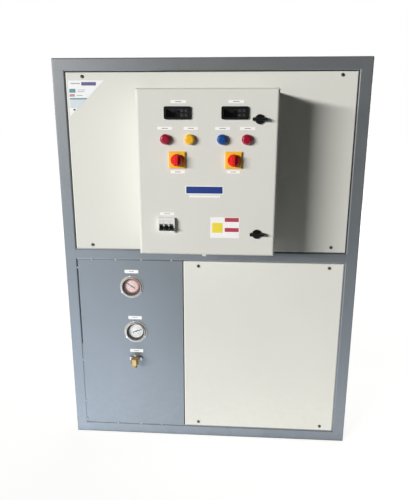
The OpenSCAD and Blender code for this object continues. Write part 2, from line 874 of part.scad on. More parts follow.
tongue_y = box_y + sheet_t + latch_clear - door_y;
tongue_l = latch_inset - lip_w + tongue_overlap;

module latch(w) {
    color("black") on_door(latch_u, w) {
        translate([0, -latch_gap, 0]) chamfered_disc(rosette_r, rosette_t, rosette_chamfer);
        translate([0, -latch_gap - rosette_t, 0]) intersection() {
            rotate([0, 90, 0]) grip(wing_t, wing_top_t, wing_h, wing_l);
            translate([0, eps, 0]) round_slab(wing_l, wing_t, wing_h + 2 * eps, wing_t / 2 - fit_gap);
        }
        translate([0, -latch_gap, 0]) rod_y(latch_shaft_r, latch_gap + tongue_y + tongue_t);
        translate([-tongue_w / 2, tongue_y, -tongue_l]) cube([tongue_w, tongue_t, tongue_l + tongue_w / 2]);
    }
}

module upper_latch() { latch(upper_latch_w); }

module lower_latch() { latch(lower_latch_w); }

// Cup with a mounting flange and a raised bezel, turned as one section
module gauge_cases() {
    inner_r = case_r - bezel_t;
    color("silver") for (i = [0, 1]) on_gauge(i) rotate([90, 0, 0]) rotate_extrude($fn = 96) polygon([
        [0, -case_l], [case_r, -case_l], [case_r, 0], [flange_r, 0], [flange_r, flange_t - flange_chamfer],
        [flange_r - flange_chamfer, flange_t], [case_r + bezel_foot, flange_t],
        [case_r + bezel_foot - bezel_round, bezel_l - bezel_round], [case_r, bezel_l],
        [inner_r + bezel_round / 2, bezel_l], [inner_r, bezel_l - bezel_round],
        [inner_r, case_back_t - case_l], [0, case_back_t - case_l]
    ]);
}

module gauge_dials() {
    depth = case_l - case_back_t;
    color("white") for (i = [0, 1]) on_gauge(i) {
        translate([0, dial_y, 0]) rod_y(dial_r, dial_t);
        translate([0, dial_y + dial_t, 0]) rod_y(dial_r / 2, depth - dial_y - dial_t);
        translate([0, dial_y - arbor_l, 0]) rod_y(arbor_r, arbor_l + dial_t / 2);
    }
}

module gauge_lenses() {
    color("lightcyan", 0.4) for (i = [0, 1]) on_gauge(i)
        translate([0, -lens_y - lens_t, 0]) rod_y(case_r - bezel_t, lens_t);
}

module pointer(i, turn) {
    color("black") on_gauge(i) translate([0, dial_y - pointer_gap - pointer_t, 0]) rotate([0, -turn, 0])
        difference() {
            union() {
                rod_y(pointer_hub_r, pointer_t);
                rotate([-90, 0, 0]) linear_extrude(pointer_t)
                    polygon([
                        [-pointer_tail_w / 2, pointer_tail], [pointer_tail_w / 2, pointer_tail],
                        [pointer_tip_w / 2, -pointer_l], [-pointer_tip_w / 2, -pointer_l]
                    ]);
            }
            translate([0, -eps, 0]) rod_y(arbor_r + pin_clear, pointer_t + 2 * eps);
        }
}

module upper_pointer() { pointer(0, upper_pointer_deg); }

module lower_pointer() { pointer(1, lower_pointer_deg); }

drain_washer_r = 14;
drain_washer_t = 3;
drain_wing_y = 4;
drain_wing_l = 46;
drain_wing_h = 12;
drain_wing_t = 4;
drain_hex_r = 14;
drain_body_up = 11;
drain_body_l = 24;
drain_shank_l = 21;
drain_spout_r = 9.5;
drain_tip_r = 6.5;
drain_lip = 1.5;
drain_bore_r = 4;
drain_bore_l = 14;

// Hexagonal bar along -Y with its front corners turned off
module hex_bar(r, l) {
    intersection() {
        rotate([90, 0, 0]) cylinder(r = r, h = l, $fn = 6);
        chamfered_disc(r, l, r - r * cos(30));
    }
}

// Shank with a washer and a wing bar, and an upright hexagonal body with a turned spout below it
module drain_cock() {
    color("goldenrod") translate([drain_x, front_y, drain_z]) {
        translate([0, -drain_axis, 0]) rod_y(drain_hole_r, drain_axis + drain_shank_l);
        chamfered_disc(drain_washer_r, drain_washer_t, drain_washer_t / 2);
        translate([0, -drain_wing_y, 0])
            round_slab(drain_wing_l, drain_wing_h, drain_wing_t, drain_wing_h / 2 - fit_gap);
        translate([0, -drain_axis, drain_body_up]) {
            rotate([90, 0, 0]) hex_bar(drain_hex_r, drain_body_l);
            translate([0, 0, -drain_body_l]) rotate_extrude() polygon([
                [0, drain_lip], [drain_spout_r, drain_lip], [drain_spout_r, -drain_lip],
                [drain_tip_r, 2 * drain_lip - drain_spout_l],
                [drain_tip_r + drain_lip, drain_lip - drain_spout_l],
                [drain_tip_r + drain_lip, -drain_spout_l], [drain_bore_r, -drain_spout_l],
                [drain_bore_r, drain_bore_l - drain_spout_l], [0, drain_bore_l - drain_spout_l]
            ]);
        }
    }
}

base_long_rails();
base_side_rails();
base_cross_rail();
base_pan();
corner_posts();
mid_long_rails();
mid_side_rails();
top_long_rails();
top_side_rails();
panel_strips();
seam_bar();
upper_front_panel();
lower_front_panel();
gauge_plate();
left_panels();
right_panels();
rear_panel();
condenser_coil();
top_panel();
fan_ring();
fan_guard();
fan_rotor();
fan_motor();
plenum_floor();
water_sockets();
control_box();
mounting_plate();
box_gasket();
box_hinges();
control_door();
door_hinges();
controllers();
lamp_bezels();
red_lenses();
yellow_lens();
blue_lens();
switch_plates();
left_knob();
right_knob();
breaker();
breaker_toggle();
upper_latch();
lower_latch();
gauge_cases();
gauge_dials();
gauge_lenses();
upper_pointer();
lower_pointer();
drain_cock();
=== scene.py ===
"""Looks of an air cooled water chiller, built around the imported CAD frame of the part."""
import logging
import math
from dataclasses import dataclass
from enum import Enum
from typing import Callable, Optional, Sequence

import bmesh
import bpy
from mathutils import Matrix, Vector


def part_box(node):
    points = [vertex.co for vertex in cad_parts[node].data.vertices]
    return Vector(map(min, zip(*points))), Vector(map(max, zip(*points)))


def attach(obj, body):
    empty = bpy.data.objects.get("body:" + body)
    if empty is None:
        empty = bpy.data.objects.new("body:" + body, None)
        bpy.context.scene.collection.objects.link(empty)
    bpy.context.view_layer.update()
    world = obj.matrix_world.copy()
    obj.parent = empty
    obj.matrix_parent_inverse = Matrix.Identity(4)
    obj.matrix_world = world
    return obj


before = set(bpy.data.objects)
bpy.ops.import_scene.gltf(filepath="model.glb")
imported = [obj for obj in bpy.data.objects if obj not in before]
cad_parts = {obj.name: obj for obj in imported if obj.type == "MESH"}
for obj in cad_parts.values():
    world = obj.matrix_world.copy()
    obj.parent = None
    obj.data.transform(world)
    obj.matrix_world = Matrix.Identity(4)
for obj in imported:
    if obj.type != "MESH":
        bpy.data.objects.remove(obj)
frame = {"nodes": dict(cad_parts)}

LOG = logging.getLogger("chiller")
MM = 0.001
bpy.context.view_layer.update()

Piece = bpy.types.Object
Socket = bpy.types.NodeSocket
Point = tuple[float, float, float]
Colour = tuple[float, float, float, float]
Pair = tuple[float, float]
Edges = tuple[float, float, float, float]
Row = tuple[float, ...]
Profile = tuple[Pair, ...]
Stop = tuple[float, Colour]
Pick = Callable[[Vector, Vector], bool]

FRONT_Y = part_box("upper_front_panel")[0].y
DOOR_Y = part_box("control_door")[0].y
SHARP_EDGE = math.radians(40.0)
SMOOTH_EDGE = math.radians(35.0)


class Facing(Enum):
    """Way that a piece modelled face up looks in the end, as turns about X and Z."""

    UP = (0.0, 0.0)
    FRONT = (90.0, 0.0)
    BACK = (90.0, 180.0)
    LEFT = (90.0, -90.0)
    RIGHT = (90.0, 90.0)


Spot = tuple[Point, Facing]


def ink(red: int, green: int, blue: int) -> Colour:
    """Turns a colour of 0 to 255 into the linear one that a shader takes.

    Args:
        red: Red of the displayed colour.
        green: Green of the displayed colour.
        blue: Blue of the displayed colour.

    Returns:
        Linear red, green, blue and an alpha of one.
    """
    shares = [c / 255 for c in (red, green, blue)]
    linear = [s / 12.92 if s <= 0.04045 else ((s + 0.055) / 1.055) ** 2.4 for s in shares]
    return (linear[0], linear[1], linear[2], 1.0)


def scaled(colour: Colour, by: float) -> Colour:
    """Returns a colour made lighter or darker by a factor."""
    return (min(1.0, colour[0] * by), min(1.0, colour[1] * by), min(1.0, colour[2] * by), 1.0)


def plug(tree: bpy.types.NodeTree, node: bpy.types.Node, **inputs: object) -> bpy.types.Node:
    """Sets a node's inputs.

    Args:
        tree: Tree that holds the node.
        node: Node to set.
        **inputs: Value of an input, or the socket to link to it, named with _ in place of spaces.

    Returns:
        The same node.
    """
    for name, value in inputs.items():
        socket = node.inputs[name.replace("_", " ")]
        if isinstance(value, Socket):
            tree.links.new(value, socket)
        else:
            socket.default_value = value
    return node


class Shader:
    """One procedural material, with its patterns on Object coordinates."""

    def __init__(self, name: str) -> None:
        """Starts a material with a plain surface.

        Args:
            name: Name of the material.
        """
        self.material = bpy.data.materials.new(name)
        self.material.use_nodes = True
        self.tree = self.material.node_tree
        self.surface = self.tree.nodes["Principled BSDF"]
        self.coords = self.node("TexCoord").outputs["Object"]

    def node(self, kind: str, **inputs: object) -> bpy.types.Node:
        """Adds a node, named without Blender's prefix, and sets its inputs."""
        return plug(self.tree, self.tree.nodes.new(f"ShaderNode{kind}"), **inputs)

    def put(self, **inputs: object) -> None:
        """Sets values on the surface's own sockets, or links patterns to them."""
        plug(self.tree, self.surface, **inputs)

    def base(self) -> Socket:
        """Gives the pattern that is linked to the surface's colour."""
        return self.surface.inputs["Base Color"].links[0].from_socket

    def stretched(self, scale: Point) -> Socket:
        """Gives coordinates stretched by a factor along each axis."""
        return self.node("Mapping", Vector=self.coords, Scale=scale).outputs["Vector"]

    def noise(self, scale: float, detail: float = 3.0, coords: Optional[Socket] = None) -> Socket:
        """Gives a cloudy pattern from 0 to 1, with so many clouds to the metre and octaves of detail."""
        return self.node("TexNoise", Vector=coords or self.coords, Scale=scale, Detail=detail).outputs["Fac"]

    def cells(self, scale: float) -> Socket:
        """Gives a pattern of crystals, each with one random colour."""
        return self.node("TexVoronoi", Vector=self.coords, Scale=scale).outputs["Color"]

    def along(self, axis: str) -> Socket:
        """Gives the place along one axis, in metres."""
        return self.node("SeparateXYZ", Vector=self.coords).outputs[axis]

    def span(self, source: Socket, low: float, high: float, ends: Pair = (0.3, 0.7)) -> Socket:
        """Maps a pattern to a range of values, low at its first end and high at its second."""
        limits = {"From Min": ends[0], "From Max": ends[1], "To Min": low, "To Max": high}
        return self.node("MapRange", Value=source, **limits).outputs["Result"]

    def ramp(self, source: Socket, stops: Sequence[Stop]) -> Socket:
        """Colours a pattern.

        Args:
            source: Pattern from 0 to 1.
            stops: Places from 0 to 1 and their colours, in order.

        Returns:
            The coloured pattern.
        """
        node = self.node("ValToRGB", Fac=source)
        elements = node.color_ramp.elements
        while len(elements) < len(stops):
            elements.new(0.5)
        for element, (place, colour) in zip(elements, stops):
            element.position, element.color = place, colour
        return node.outputs["Color"]

    def clouded(self, source: Socket, colour: Colour, dark: float, light: float = 1.0) -> Socket:
        """Gives a colour that a pattern varies between two shades of it."""
        return self.ramp(source, [(0.3, scaled(colour, dark)), (0.7, scaled(colour, light))])

    def mixed(self, factor: Socket, first: Socket, second: Socket) -> Socket:
        """Mixes two colours by a pattern.

        Args:
            factor: Share of the second colour.
            first: Colour where the factor is 0.
            second: Colour where the factor is 1.

        Returns:
            The mixed colour.
        """
        node = self.node("Mix")
        node.data_type = "RGBA"
        return plug(self.tree, node, Factor=factor, A=first, B=second).outputs["Result"]

    def past(self, axis: str, border: float, soft: float, first: Socket, second: Socket) -> Socket:
        """Gives one colour before a border along an axis and another past it, soft by so much each way."""
        beyond = self.span(self.along(axis), 0.0, 1.0, (border - soft, border + soft))
        return self.mixed(beyond, first, second)

    def emboss(self, height: Socket, strength: float, depth: float) -> None:
        """Raises the surface by a pattern, of which a share of a depth in metres shows."""
        self.put(Normal=self.node("Bump", Height=height, Strength=strength, Distance=depth).outputs["Normal"])


@dataclass(frozen=True)
class Finish:
    """Finish of a surface, with the slot of the record that it belongs to.

    Clouds, gloss and grain are the scale and detail of the patterns of colour, roughness and relief.
    """

    name: str
    slot: str
    colour: Colour
    roughness: float = 0.4
    specular: float = 0.5
    mottle: float = 0.02
    relief: float = 0.12
    depth: float = 0.25 * MM
    clouds: Pair = (5.0, 5.0)
    gloss: Pair = (22.0, 4.0)
    swing: Pair = (0.03, 0.04)
    grain: Pair = (420.0, 2.0)
    metallic: float = 0.0
    coat: float = 0.0
    coat_roughness: float = 0.08
    opacity: float = 1.0

    def patterns(self, shader: Shader) -> tuple[Socket, Socket, Socket]:
        """Gives the patterns of colour, roughness and relief."""
        return shader.noise(*self.clouds), shader.noise(*self.gloss), shader.noise(*self.grain)

    def shade(self, shader: Shader) -> None:
        """Varies the colour and the gloss and raises the relief.

        Args:
            shader: Material in the making.
        """
        clouds, gloss, grain = self.patterns(shader)
        finer, duller = self.swing
        shader.put(Base_Color=shader.clouded(clouds, self.colour, 1 - self.mottle, 1 + self.mottle),
                   Roughness=shader.span(gloss, self.roughness - finer, self.roughness + duller),
                   Specular_IOR_Level=self.specular, Metallic=self.metallic, Alpha=self.opacity,
                   Coat_Weight=self.coat, Coat_Roughness=self.coat_roughness)
        if self.relief > 0:
            shader.emboss(grain, self.relief, self.depth)

    def material(self) -> bpy.types.Material:
        """Makes the finish's material on first use.

        Returns:
            The material.
        """
        name = f"{self.name}_finish"
        if name in bpy.data.materials:
            return bpy.data.materials[name]
        shader = Shader(name)
        self.shade(shader)
        return shader.material

    def cover(self, piece: Piece) -> None:
        """Makes the finish a piece's only material."""
        piece.data.materials.clear()
        piece.data.materials.append(self.material())


@dataclass(frozen=True)
class PowderCoat(Finish):
    """Baked powder paint: faint clouds of shade, fine orange peel and a film of dust low down."""

    dust: float = 0.0
    dust_top: float = 0.35

    def shade(self, shader: Shader) -> None:
        """Adds dust towards the floor to the clouds, the gloss and the orange peel.

        Args:
            shader: Material in the making.
        """
        super().shade(shader)
        if self.dust > 0:
            low = shader.span(shader.along("Z"), self.dust, 0.0, (0.0, self.dust_top))
            film = shader.clouded(shader.noise(60.0, 6.0), self.colour, 0.75, 1.25)
            shader.put(Base_Color=shader.mixed(low, shader.base(), film))


@dataclass(frozen=True)
class BayPaint(PowderCoat):
    """Powder paint of the strips behind the seams, with painted shade: darker in the upper bay than in the
    lower one.
    """

    clouds: Pair = (9.0, 3.0)
    # upper: painted shade, the dark of the deep seams in the upper bay
    upper: Colour = ink(38, 39, 40)
    border: float = 0.7

    def shade(self, shader: Shader) -> None:
        """Adds the upper bay's painted shade, a darker colour above the border, to the clouds and peel.

        Args:
            shader: Material in the making.
        """
        super().shade(shader)
        # painted shade above the border, mixed over the frame grey below it
        dark = shader.clouded(shader.noise(5.0, 5.0), self.upper, 0.9)
        shader.put(Base_Color=shader.past("Z", self.border, 5 * MM, shader.base(), dark))


@dataclass(frozen=True)
class MouldedPlastic(Finish):
    """Moulded plastic with a faint change of shade, rubbed patches and the mould's fine grain."""

    mottle: float = 0.06
    depth: float = 0.05 * MM
    clouds: Pair = (90.0, 4.0)
    gloss: Pair = (160.0, 3.0)
    swing: Pair = (0.05, 0.08)
    grain: Pair = (2600.0, 1.0)


@dataclass(frozen=True)
class ThroughDoor(MouldedPlastic):
    """Plastic of fittings set through the door: coloured in front, zone by zone, and dark behind the door."""

    zones: tuple[Stop, ...] = ()
    reach: float = 0.2
    rear: Colour = ink(36, 36, 37)
    rear_from: float = DOOR_Y + 0.8 * MM

    def shade(self, shader: Shader) -> None:
        """Adds the zones' colours, each up to its right edge, and the dark rear to the plastic.

        Args:
            shader: Material in the making.
        """
        super().shade(shader)
        front = shader.base()
        if self.zones:
            stops: list[Stop] = []
            left = 0.0
            for edge, colour in self.zones:
                right = (edge + self.reach) / (2 * self.reach)
                stops += [(left + 0.002, colour), (right - 0.002, colour)]
                left = right
            front = shader.ramp(shader.span(shader.along("X"), 0.0, 1.0, (-self.reach, self.reach)), stops)
        dark = shader.clouded(shader.noise(*self.clouds), self.rear, 0.9)
        shader.put(Base_Color=shader.past("Y", self.rear_from, 0.2 * MM, front, dark))


@dataclass(frozen=True)
class LensPlastic(Finish):
    """Clear coloured plastic of a lamp, glossy, a little deeper in places and faintly rippled."""

    roughness: float = 0.3
    specular: float = 0.35
    mottle: float = 0.12
    depth: float = 0.1 * MM
    clouds: Pair = (130.0, 2.0)
    gloss: Pair = (300.0, 3.0)
    swing: Pair = (0.04, 0.04)
    grain: Pair = (380.0, 1.0)
    coat: float = 0.15
    coat_roughness: float = 0.16


@dataclass(frozen=True)
class WorkedMetal(Finish):
    """Bare metal with tarnish and the fine lines of turning, drawing or brushing."""

    mottle: float = 0.12
    depth: float = 0.05 * MM
    clouds: Pair = (70.0, 5.0)
    swing: Pair = (0.08, 0.1)
    metallic: float = 1.0
    lines: Point = (60.0, 900.0, 60.0)

    def patterns(self, shader: Shader) -> tuple[Socket, Socket, Socket]:
        """Gives clouds of tarnish, and the tool's lines for both roughness and relief."""
        lines = shader.noise(1.0, 3.0, shader.stretched(self.lines))
        return shader.noise(*self.clouds), lines, lines


@dataclass(frozen=True)
class Galvanised(Finish):
    """Zinc coated sheet with its spangle."""

    mottle: float = 0.16
    relief: float = 0.08
    depth: float = 0.1 * MM
    swing: Pair = (0.08, 0.12)
    grain: Pair = (240.0, 4.0)
    metallic: float = 0.9
    spangle: float = 90.0

    def patterns(self, shader: Shader) -> tuple[Socket, Socket, Socket]:
        """Gives crystals of zinc that differ in shade and gloss, and a fine relief."""
        crystals = shader.cells(self.spangle)
        return crystals, crystals, shader.noise(*self.grain)


@dataclass(frozen=True)
class TwoMetals(WorkedMetal):
    """Turned fitting of one metal, with a foot of another against the plate that carries it."""

    foot: Colour = ink(182, 180, 174)
    foot_from: float = FRONT_Y

    def shade(self, shader: Shader) -> None:
        """Adds the foot's colour behind its border to the lines and tarnish.

        Args:
            shader: Material in the making.
        """
        super().shade(shader)
        rear = shader.clouded(shader.noise(50.0, 4.0), self.foot, 0.9)
        shader.put(Base_Color=shader.past("Y", self.foot_from, 0.2 * MM, shader.base(), rear))


@dataclass(frozen=True)
class FoamRubber(Finish):
    """Soft black rubber with greyed patches and a matt, pitted skin."""

    mottle: float = 0.3
    relief: float = 0.4
    depth: float = 0.2 * MM
    clouds: Pair = (120.0, 4.0)
    gloss: Pair = (90.0, 3.0)
    swing: Pair = (0.05, 0.1)
    grain: Pair = (1500.0, 2.0)


@dataclass(frozen=True)
class ClearPane(Finish):
    """Thin clear pane that is seen through, with faint smears."""

    mottle: float = 0.05
    relief: float = 0.0
    clouds: Pair = (60.0, 4.0)
    gloss: Pair = (45.0, 5.0)
    swing: Pair = (0.0, 0.06)
    opacity: float = 0.05


@dataclass(frozen=True)
class Printed(Finish):
    """Printed or vinyl face with uneven ink and faint waves where it is stuck down."""

    roughness: float = 0.42
    specular: float = 0.4
    mottle: float = 0.03
    relief: float = 0.06
    depth: float = 0.15 * MM
    clouds: Pair = (210.0, 5.0)
    gloss: Pair = (120.0, 3.0)
    swing: Pair = (0.05, 0.06)
    grain: Pair = (80.0, 2.0)


class Paints:
    """Finishes of the whole chiller."""

    GREY = PowderCoat("grey_powder_coat", "frame_paint", ink(99, 103, 106), 0.42, 1.0, 0.03, 0.14, dust=0.3)
    # weld tacks: frame paint lightened as a painted highlight, where the tacks catch the light
    BEAD = PowderCoat("weld_tack_highlight", "frame_paint", ink(158, 163, 168), 0.4, 0.6, 0.08, 0.3)
    CREAM = PowderCoat("cream_powder_coat", "panel_paint", ink(223, 223, 217), 0.6, 0.2, 0.012, 0.1, dust=0.1)
    # seam strips: frame grey in the lower bay, painted shade in the upper bay
    SEAM = BayPaint("seam_paint_and_shade", "inner_steel", ink(104, 109, 114), 0.5, 0.6, 0.06, 0.2)
    BLACK_COAT = PowderCoat("black_powder_coat", "guard_black", ink(30, 31, 32), 0.5, 0.25, 0.1, 0.2)
    ENAMEL = PowderCoat("dark_enamel", "fan_grey", ink(74, 76, 79), 0.38, 0.5, 0.06, 0.2)
    POINTER = PowderCoat("pointer_black", "pointer_black", ink(32, 32, 36), 0.45, 0.5, 0.06, 0.1)
    ZINC = Galvanised("galvanised_sheet", "galvanised", ink(196, 198, 200), 0.42)
    DULL_ZINC = Galvanised("dull_zinc", "galvanised", ink(176, 178, 180), 0.68)
    FIN_STOCK = WorkedMetal("fin_aluminium", "coil_aluminium", ink(200, 203, 206), 0.36,
                            mottle=0.1, lines=(500.0, 500.0, 12.0))
    STAINLESS = WorkedMetal("satin_nickel", "gauge_steel", ink(177, 169, 160), 0.34, metallic=0.2)
    SCREW = WorkedMetal("screw_oxide", "galvanised", ink(88, 83, 75), 0.36,
                        mottle=0.1, lines=(300.0, 300.0, 300.0))
    BRASS = TwoMetals("drain_brass", "drain_brass", ink(164, 134, 78), 0.32,
                      mottle=0.2, metallic=0.5, lines=(60.0, 300.0, 300.0), foot_from=FRONT_Y - 8.4 * MM)
    RUBBER = FoamRubber("foam_rubber", "gasket_rubber", ink(34, 34, 35), 0.8, 0.3)
    INNER_RING = MouldedPlastic("dial_surround", "black_plastic", ink(16, 15, 15), 0.7, 0.06, relief=0.2)
    BLACK = MouldedPlastic("black_plastic", "black_plastic", ink(17, 17, 16), 0.42, 0.16, relief=0.25)
    BUTTON = MouldedPlastic("button_rubber", "black_plastic", ink(36, 37, 36), 0.6, 0.3, relief=0.3)
    WINDOW = MouldedPlastic("display_window", "black_plastic", ink(9, 9, 9), 0.16, 0.4, relief=0.02, coat=0.2)
    BREAKER = MouldedPlastic("breaker_white", "breaker_white", ink(228, 228, 226), 0.45, 0.45, relief=0.2)
    KNOB = MouldedPlastic("knob_red", "knob_red", ink(224, 26, 12), 0.34, 0.35, relief=0.1, coat=0.1)
    YELLOW = ThroughDoor("switch_yellow", "switch_yellow", ink(246, 190, 50), 0.36, 0.45, coat=0.1)
    BEZEL = ThroughDoor("lamp_collar", "bezel_grey", ink(176, 24, 64), 0.36, 0.4, 0.06, 0.1, coat=0.1, zones=(
        (-0.0775, ink(176, 24, 64)), (0.0025, ink(244, 190, 44)), (0.0825, ink(24, 84, 176)),
        (0.2, ink(176, 24, 64))))
    RED_LENS = LensPlastic("lens_red", "lamp_red", ink(156, 6, 42))
    YELLOW_LENS = LensPlastic("lens_yellow", "lamp_yellow", ink(246, 186, 32))
    BLUE_LENS = LensPlastic("lens_blue", "lamp_blue", ink(12, 68, 142))
    GLASS = ClearPane("gauge_glass", "gauge_glass", ink(244, 248, 250), 0.03, 0.1)
    DIAL = Printed("dial_white", "dial_white", ink(240, 240, 240), 0.5, relief=0.02)
    PINK_DIAL = Printed("dial_pink", "dial_white", ink(246, 216, 212), 0.5, relief=0.02)
    DIAL_RED = Printed("dial_red_ring", "knob_red", ink(192, 96, 98), 0.5, relief=0.02)
    DIAL_BLACK = Printed("dial_black_print", "pointer_black", ink(44, 44, 50), 0.5, relief=0.02)
    LABEL = Printed("label_white", "dial_white", ink(253, 253, 255), relief=0.12)
    STICKER = Printed("sticker_white", "dial_white", ink(240, 241, 245), relief=0.12)
    LABEL_BLUE = Printed("label_blue", "lamp_blue", ink(24, 54, 132), 0.4)
    LABEL_YELLOW = Printed("label_yellow", "lamp_yellow", ink(246, 222, 66))
    LABEL_RED = Printed("label_red", "lamp_red", ink(184, 62, 84))
    LABEL_ROSE = Printed("label_rose", "lamp_red", ink(190, 138, 140))
    LABEL_GREY = Printed("label_grey_print", "bezel_grey", ink(150, 150, 156))
    LABEL_TEAL = Printed("label_teal", "lamp_blue", ink(78, 142, 150))
    LABEL_SKY = Printed("label_sky", "lamp_blue", ink(208, 217, 224))
    LABEL_VIOLET = Printed("label_violet", "lamp_blue", ink(88, 82, 130))


def deselect() -> None:
    """Leaves nothing selected."""
    bpy.ops.object.select_all(action="DESELECT")


def focus(piece: Piece) -> None:
    """Makes one piece the only selected and active one.

    Args:
        piece: Piece to select.
    """
    deselect()
    piece.select_set(True)
    bpy.context.view_layer.objects.active = piece


class Editing:
    """Edit mode on one piece, with all or the picked faces selected."""

    def __init__(self, piece: Piece, pick: Optional[Pick] = None) -> None:
        """Keeps the piece and the test on a face's centre and normal, or None for all faces."""
        self.piece = piece
        self.pick = pick

    def __enter__(self) -> None:
        """Enters edit mode and selects."""
        focus(self.piece)
        bpy.ops.object.mode_set(mode="EDIT")
        bpy.ops.mesh.select_mode(type="FACE")
        bpy.ops.mesh.select_all(action="SELECT" if self.pick is None else "DESELECT")
        if self.pick is not None:
            mesh = bmesh.from_edit_mesh(self.piece.data)
            for face in mesh.faces:
                face.select_set(self.pick(face.calc_center_median(), face.normal))
            bmesh.update_edit_mesh(self.piece.data)

    def __exit__(self, *_: object) -> None:
        """Leaves edit mode."""
        bpy.ops.object.mode_set(mode="OBJECT")


def named(name: str) -> Piece:
    """Names the piece that was just added.

    Args:
        name: Name of the piece and of its mesh.

    Returns:
        The piece.
    """
    piece = bpy.context.object
    piece.name = piece.data.name = name
    return piece


def close_up() -> None:
    """Merges doubles and points all faces outwards, in edit mode."""
    bpy.ops.mesh.select_all(action="SELECT")
    bpy.ops.mesh.remove_doubles(threshold=0.001 * MM)
    bpy.ops.mesh.normals_make_consistent(inside=False)


def plate(name: str, width: float, height: float, thickness: float, corner: float = 0.0) -> Piece:
    """Makes a thin plate, face up, from a plane whose corners are rounded before it is raised.

    Args:
        name: Name of the piece.
        width: Size along X.
        height: Size along Y.
        thickness: Size along Z.
        corner: Radius of the corners.

    Returns:
        The plate, centred on the origin and standing on it.
    """
    deselect()
    bpy.ops.mesh.primitive_plane_add(size=1.0)
    piece = named(name)
    piece.scale = (width, height, 1.0)
    bpy.ops.object.transform_apply()
    with Editing(piece):
        if corner > 0:
            bpy.ops.mesh.bevel(offset=corner, segments=4, affect="VERTICES")
            bpy.ops.mesh.select_all(action="SELECT")
        bpy.ops.mesh.extrude_region_move(TRANSFORM_OT_translate={"value": (0.0, 0.0, thickness)})
        close_up()
    return piece


def turned(name: str, steps: Sequence[Pair], sides: int, radius: float = MM, height: float = MM,
           ring: bool = False) -> Piece:
    """Makes a piece turned about Z, from a circle that is raised and widened step by step.

    Args:
        name: Name of the piece.
        steps: Radius and height of each step in the units below, from the foot up or round a ring.
        sides: Number of sides round the piece.
        radius: Unit of the radii.
        height: Unit of the heights.
        ring: Whether the steps close into a ring, in place of a solid.

    Returns:
        The turned piece.
    """
    deselect()
    path = [(wide * radius, high * height) for wide, high in steps]
    across, level = path[0]
    bpy.ops.mesh.primitive_circle_add(vertices=sides, radius=across, location=(0.0, 0.0, level),
                                      fill_type="NOTHING" if ring else "NGON")
    piece = named(name)
    bpy.ops.object.transform_apply()
    extrude = bpy.ops.mesh.extrude_edges_move if ring else bpy.ops.mesh.extrude_region_move
    with Editing(piece):
        bpy.ops.mesh.select_mode(type="EDGE" if ring else "FACE")
        bpy.ops.mesh.select_all(action="SELECT")
        for wider, higher in path[1:] + path[:int(ring)]:
            extrude(TRANSFORM_OT_translate={"value": (0.0, 0.0, higher - level)})
            by = wider / across
            bpy.ops.transform.resize(value=(by, by, 1.0), center_override=(0.0, 0.0, higher))
            across, level = wider, higher
        close_up()
    return piece


def apply_modifier(piece: Piece, kind: str, **settings: object) -> None:
    """Adds one modifier to a piece and applies it.

    Args:
        piece: Piece to change.
        kind: Blender's name of the modifier.
        **settings: Values of the modifier.
    """
    focus(piece)
    modifier = piece.modifiers.new("shape", kind)
    for key, value in settings.items():
        setattr(modifier, key, value)
    bpy.ops.object.modifier_apply(modifier=modifier.name)


def soften(piece: Piece, width: float) -> Piece:
    """Rounds a piece's sharp edges by a width and returns it."""
    apply_modifier(piece, "BEVEL", width=width, segments=2, limit_method="ANGLE", angle_limit=SHARP_EDGE)
    return piece


def carve(piece: Piece, tool: Piece) -> None:
    """Cuts a tool out of a piece and removes the tool."""
    apply_modifier(piece, "BOOLEAN", operation="DIFFERENCE", object=tool, solver="EXACT")
    bpy.data.objects.remove(tool)


def rotation(degrees: float, axis: str) -> Matrix:
    """Returns a turn about one axis."""
    return Matrix.Rotation(math.radians(degrees), 4, axis)


def settle(piece: Piece, place: Point, facing: Facing = Facing.FRONT, spin: float = 0.0) -> Piece:
    """Turns a piece modelled face up, moves it and applies both to its mesh.

    Args:
        piece: Piece to move.
        place: Place of the piece's foot.
        facing: Way that its face looks.
        spin: Turn about the piece's own axis in degrees.

    Returns:
        The same piece, with its object at the origin.
    """
    about_x, about_z = facing.value
    turn = rotation(about_z, "Z") @ rotation(about_x, "X")
    focus(piece)
    piece.matrix_world = Matrix.Translation(place) @ turn @ rotation(spin, "Z")
    bpy.ops.object.transform_apply()
    return piece


def copied(piece: Piece, name: str) -> Piece:
    """Copies a piece with its mesh.

    Args:
        piece: Piece to copy.
        name: Name of the copy.

    Returns:
        The copy.
    """
    focus(piece)
    bpy.ops.object.duplicate(linked=False)
    return named(name)


def joined(name: str, pieces: Sequence[Piece]) -> Piece:
    """Joins pieces into one mesh.

    Args:
        name: Name of the joined piece.
        pieces: Pieces to join.

    Returns:
        The joined piece.
    """
    focus(pieces[0])
    for piece in pieces[1:]:
        piece.select_set(True)
    bpy.ops.object.join()
    return named(name)


def repeated(piece: Piece, name: str, spots: Sequence[Spot], step: float = 0.0, first: float = 0.0) -> Piece:
    """Joins copies of a piece, one at each spot, and removes the piece.

    Args:
        piece: Piece to copy, face up.
        name: Name of the joined piece.
        spots: Place and facing of each copy.
        step: Turn in degrees from one copy to the next.
        first: Turn of the first copy.

    Returns:
        The joined piece.
    """
    copies = [settle(copied(piece, f"{name}_{i}"), place, facing, step * i + first)
              for i, (place, facing) in enumerate(spots)]
    bpy.data.objects.remove(piece)
    return joined(name, copies)


def dress(piece: Piece, finish: Finish, body: str = "root") -> None:
    """Gives a finished piece its material and the body that it rides on.

    Args:
        piece: Piece to dress.
        finish: Finish of the piece.
        body: Body of the frame that it rides on.
    """
    focus(piece)
    bpy.ops.object.shade_smooth_by_angle(angle=SMOOTH_EDGE)
    finish.cover(piece)
    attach(piece, body)
    LOG.info("%s: %d faces, rides on %s", piece.name, len(piece.data.polygons), body)


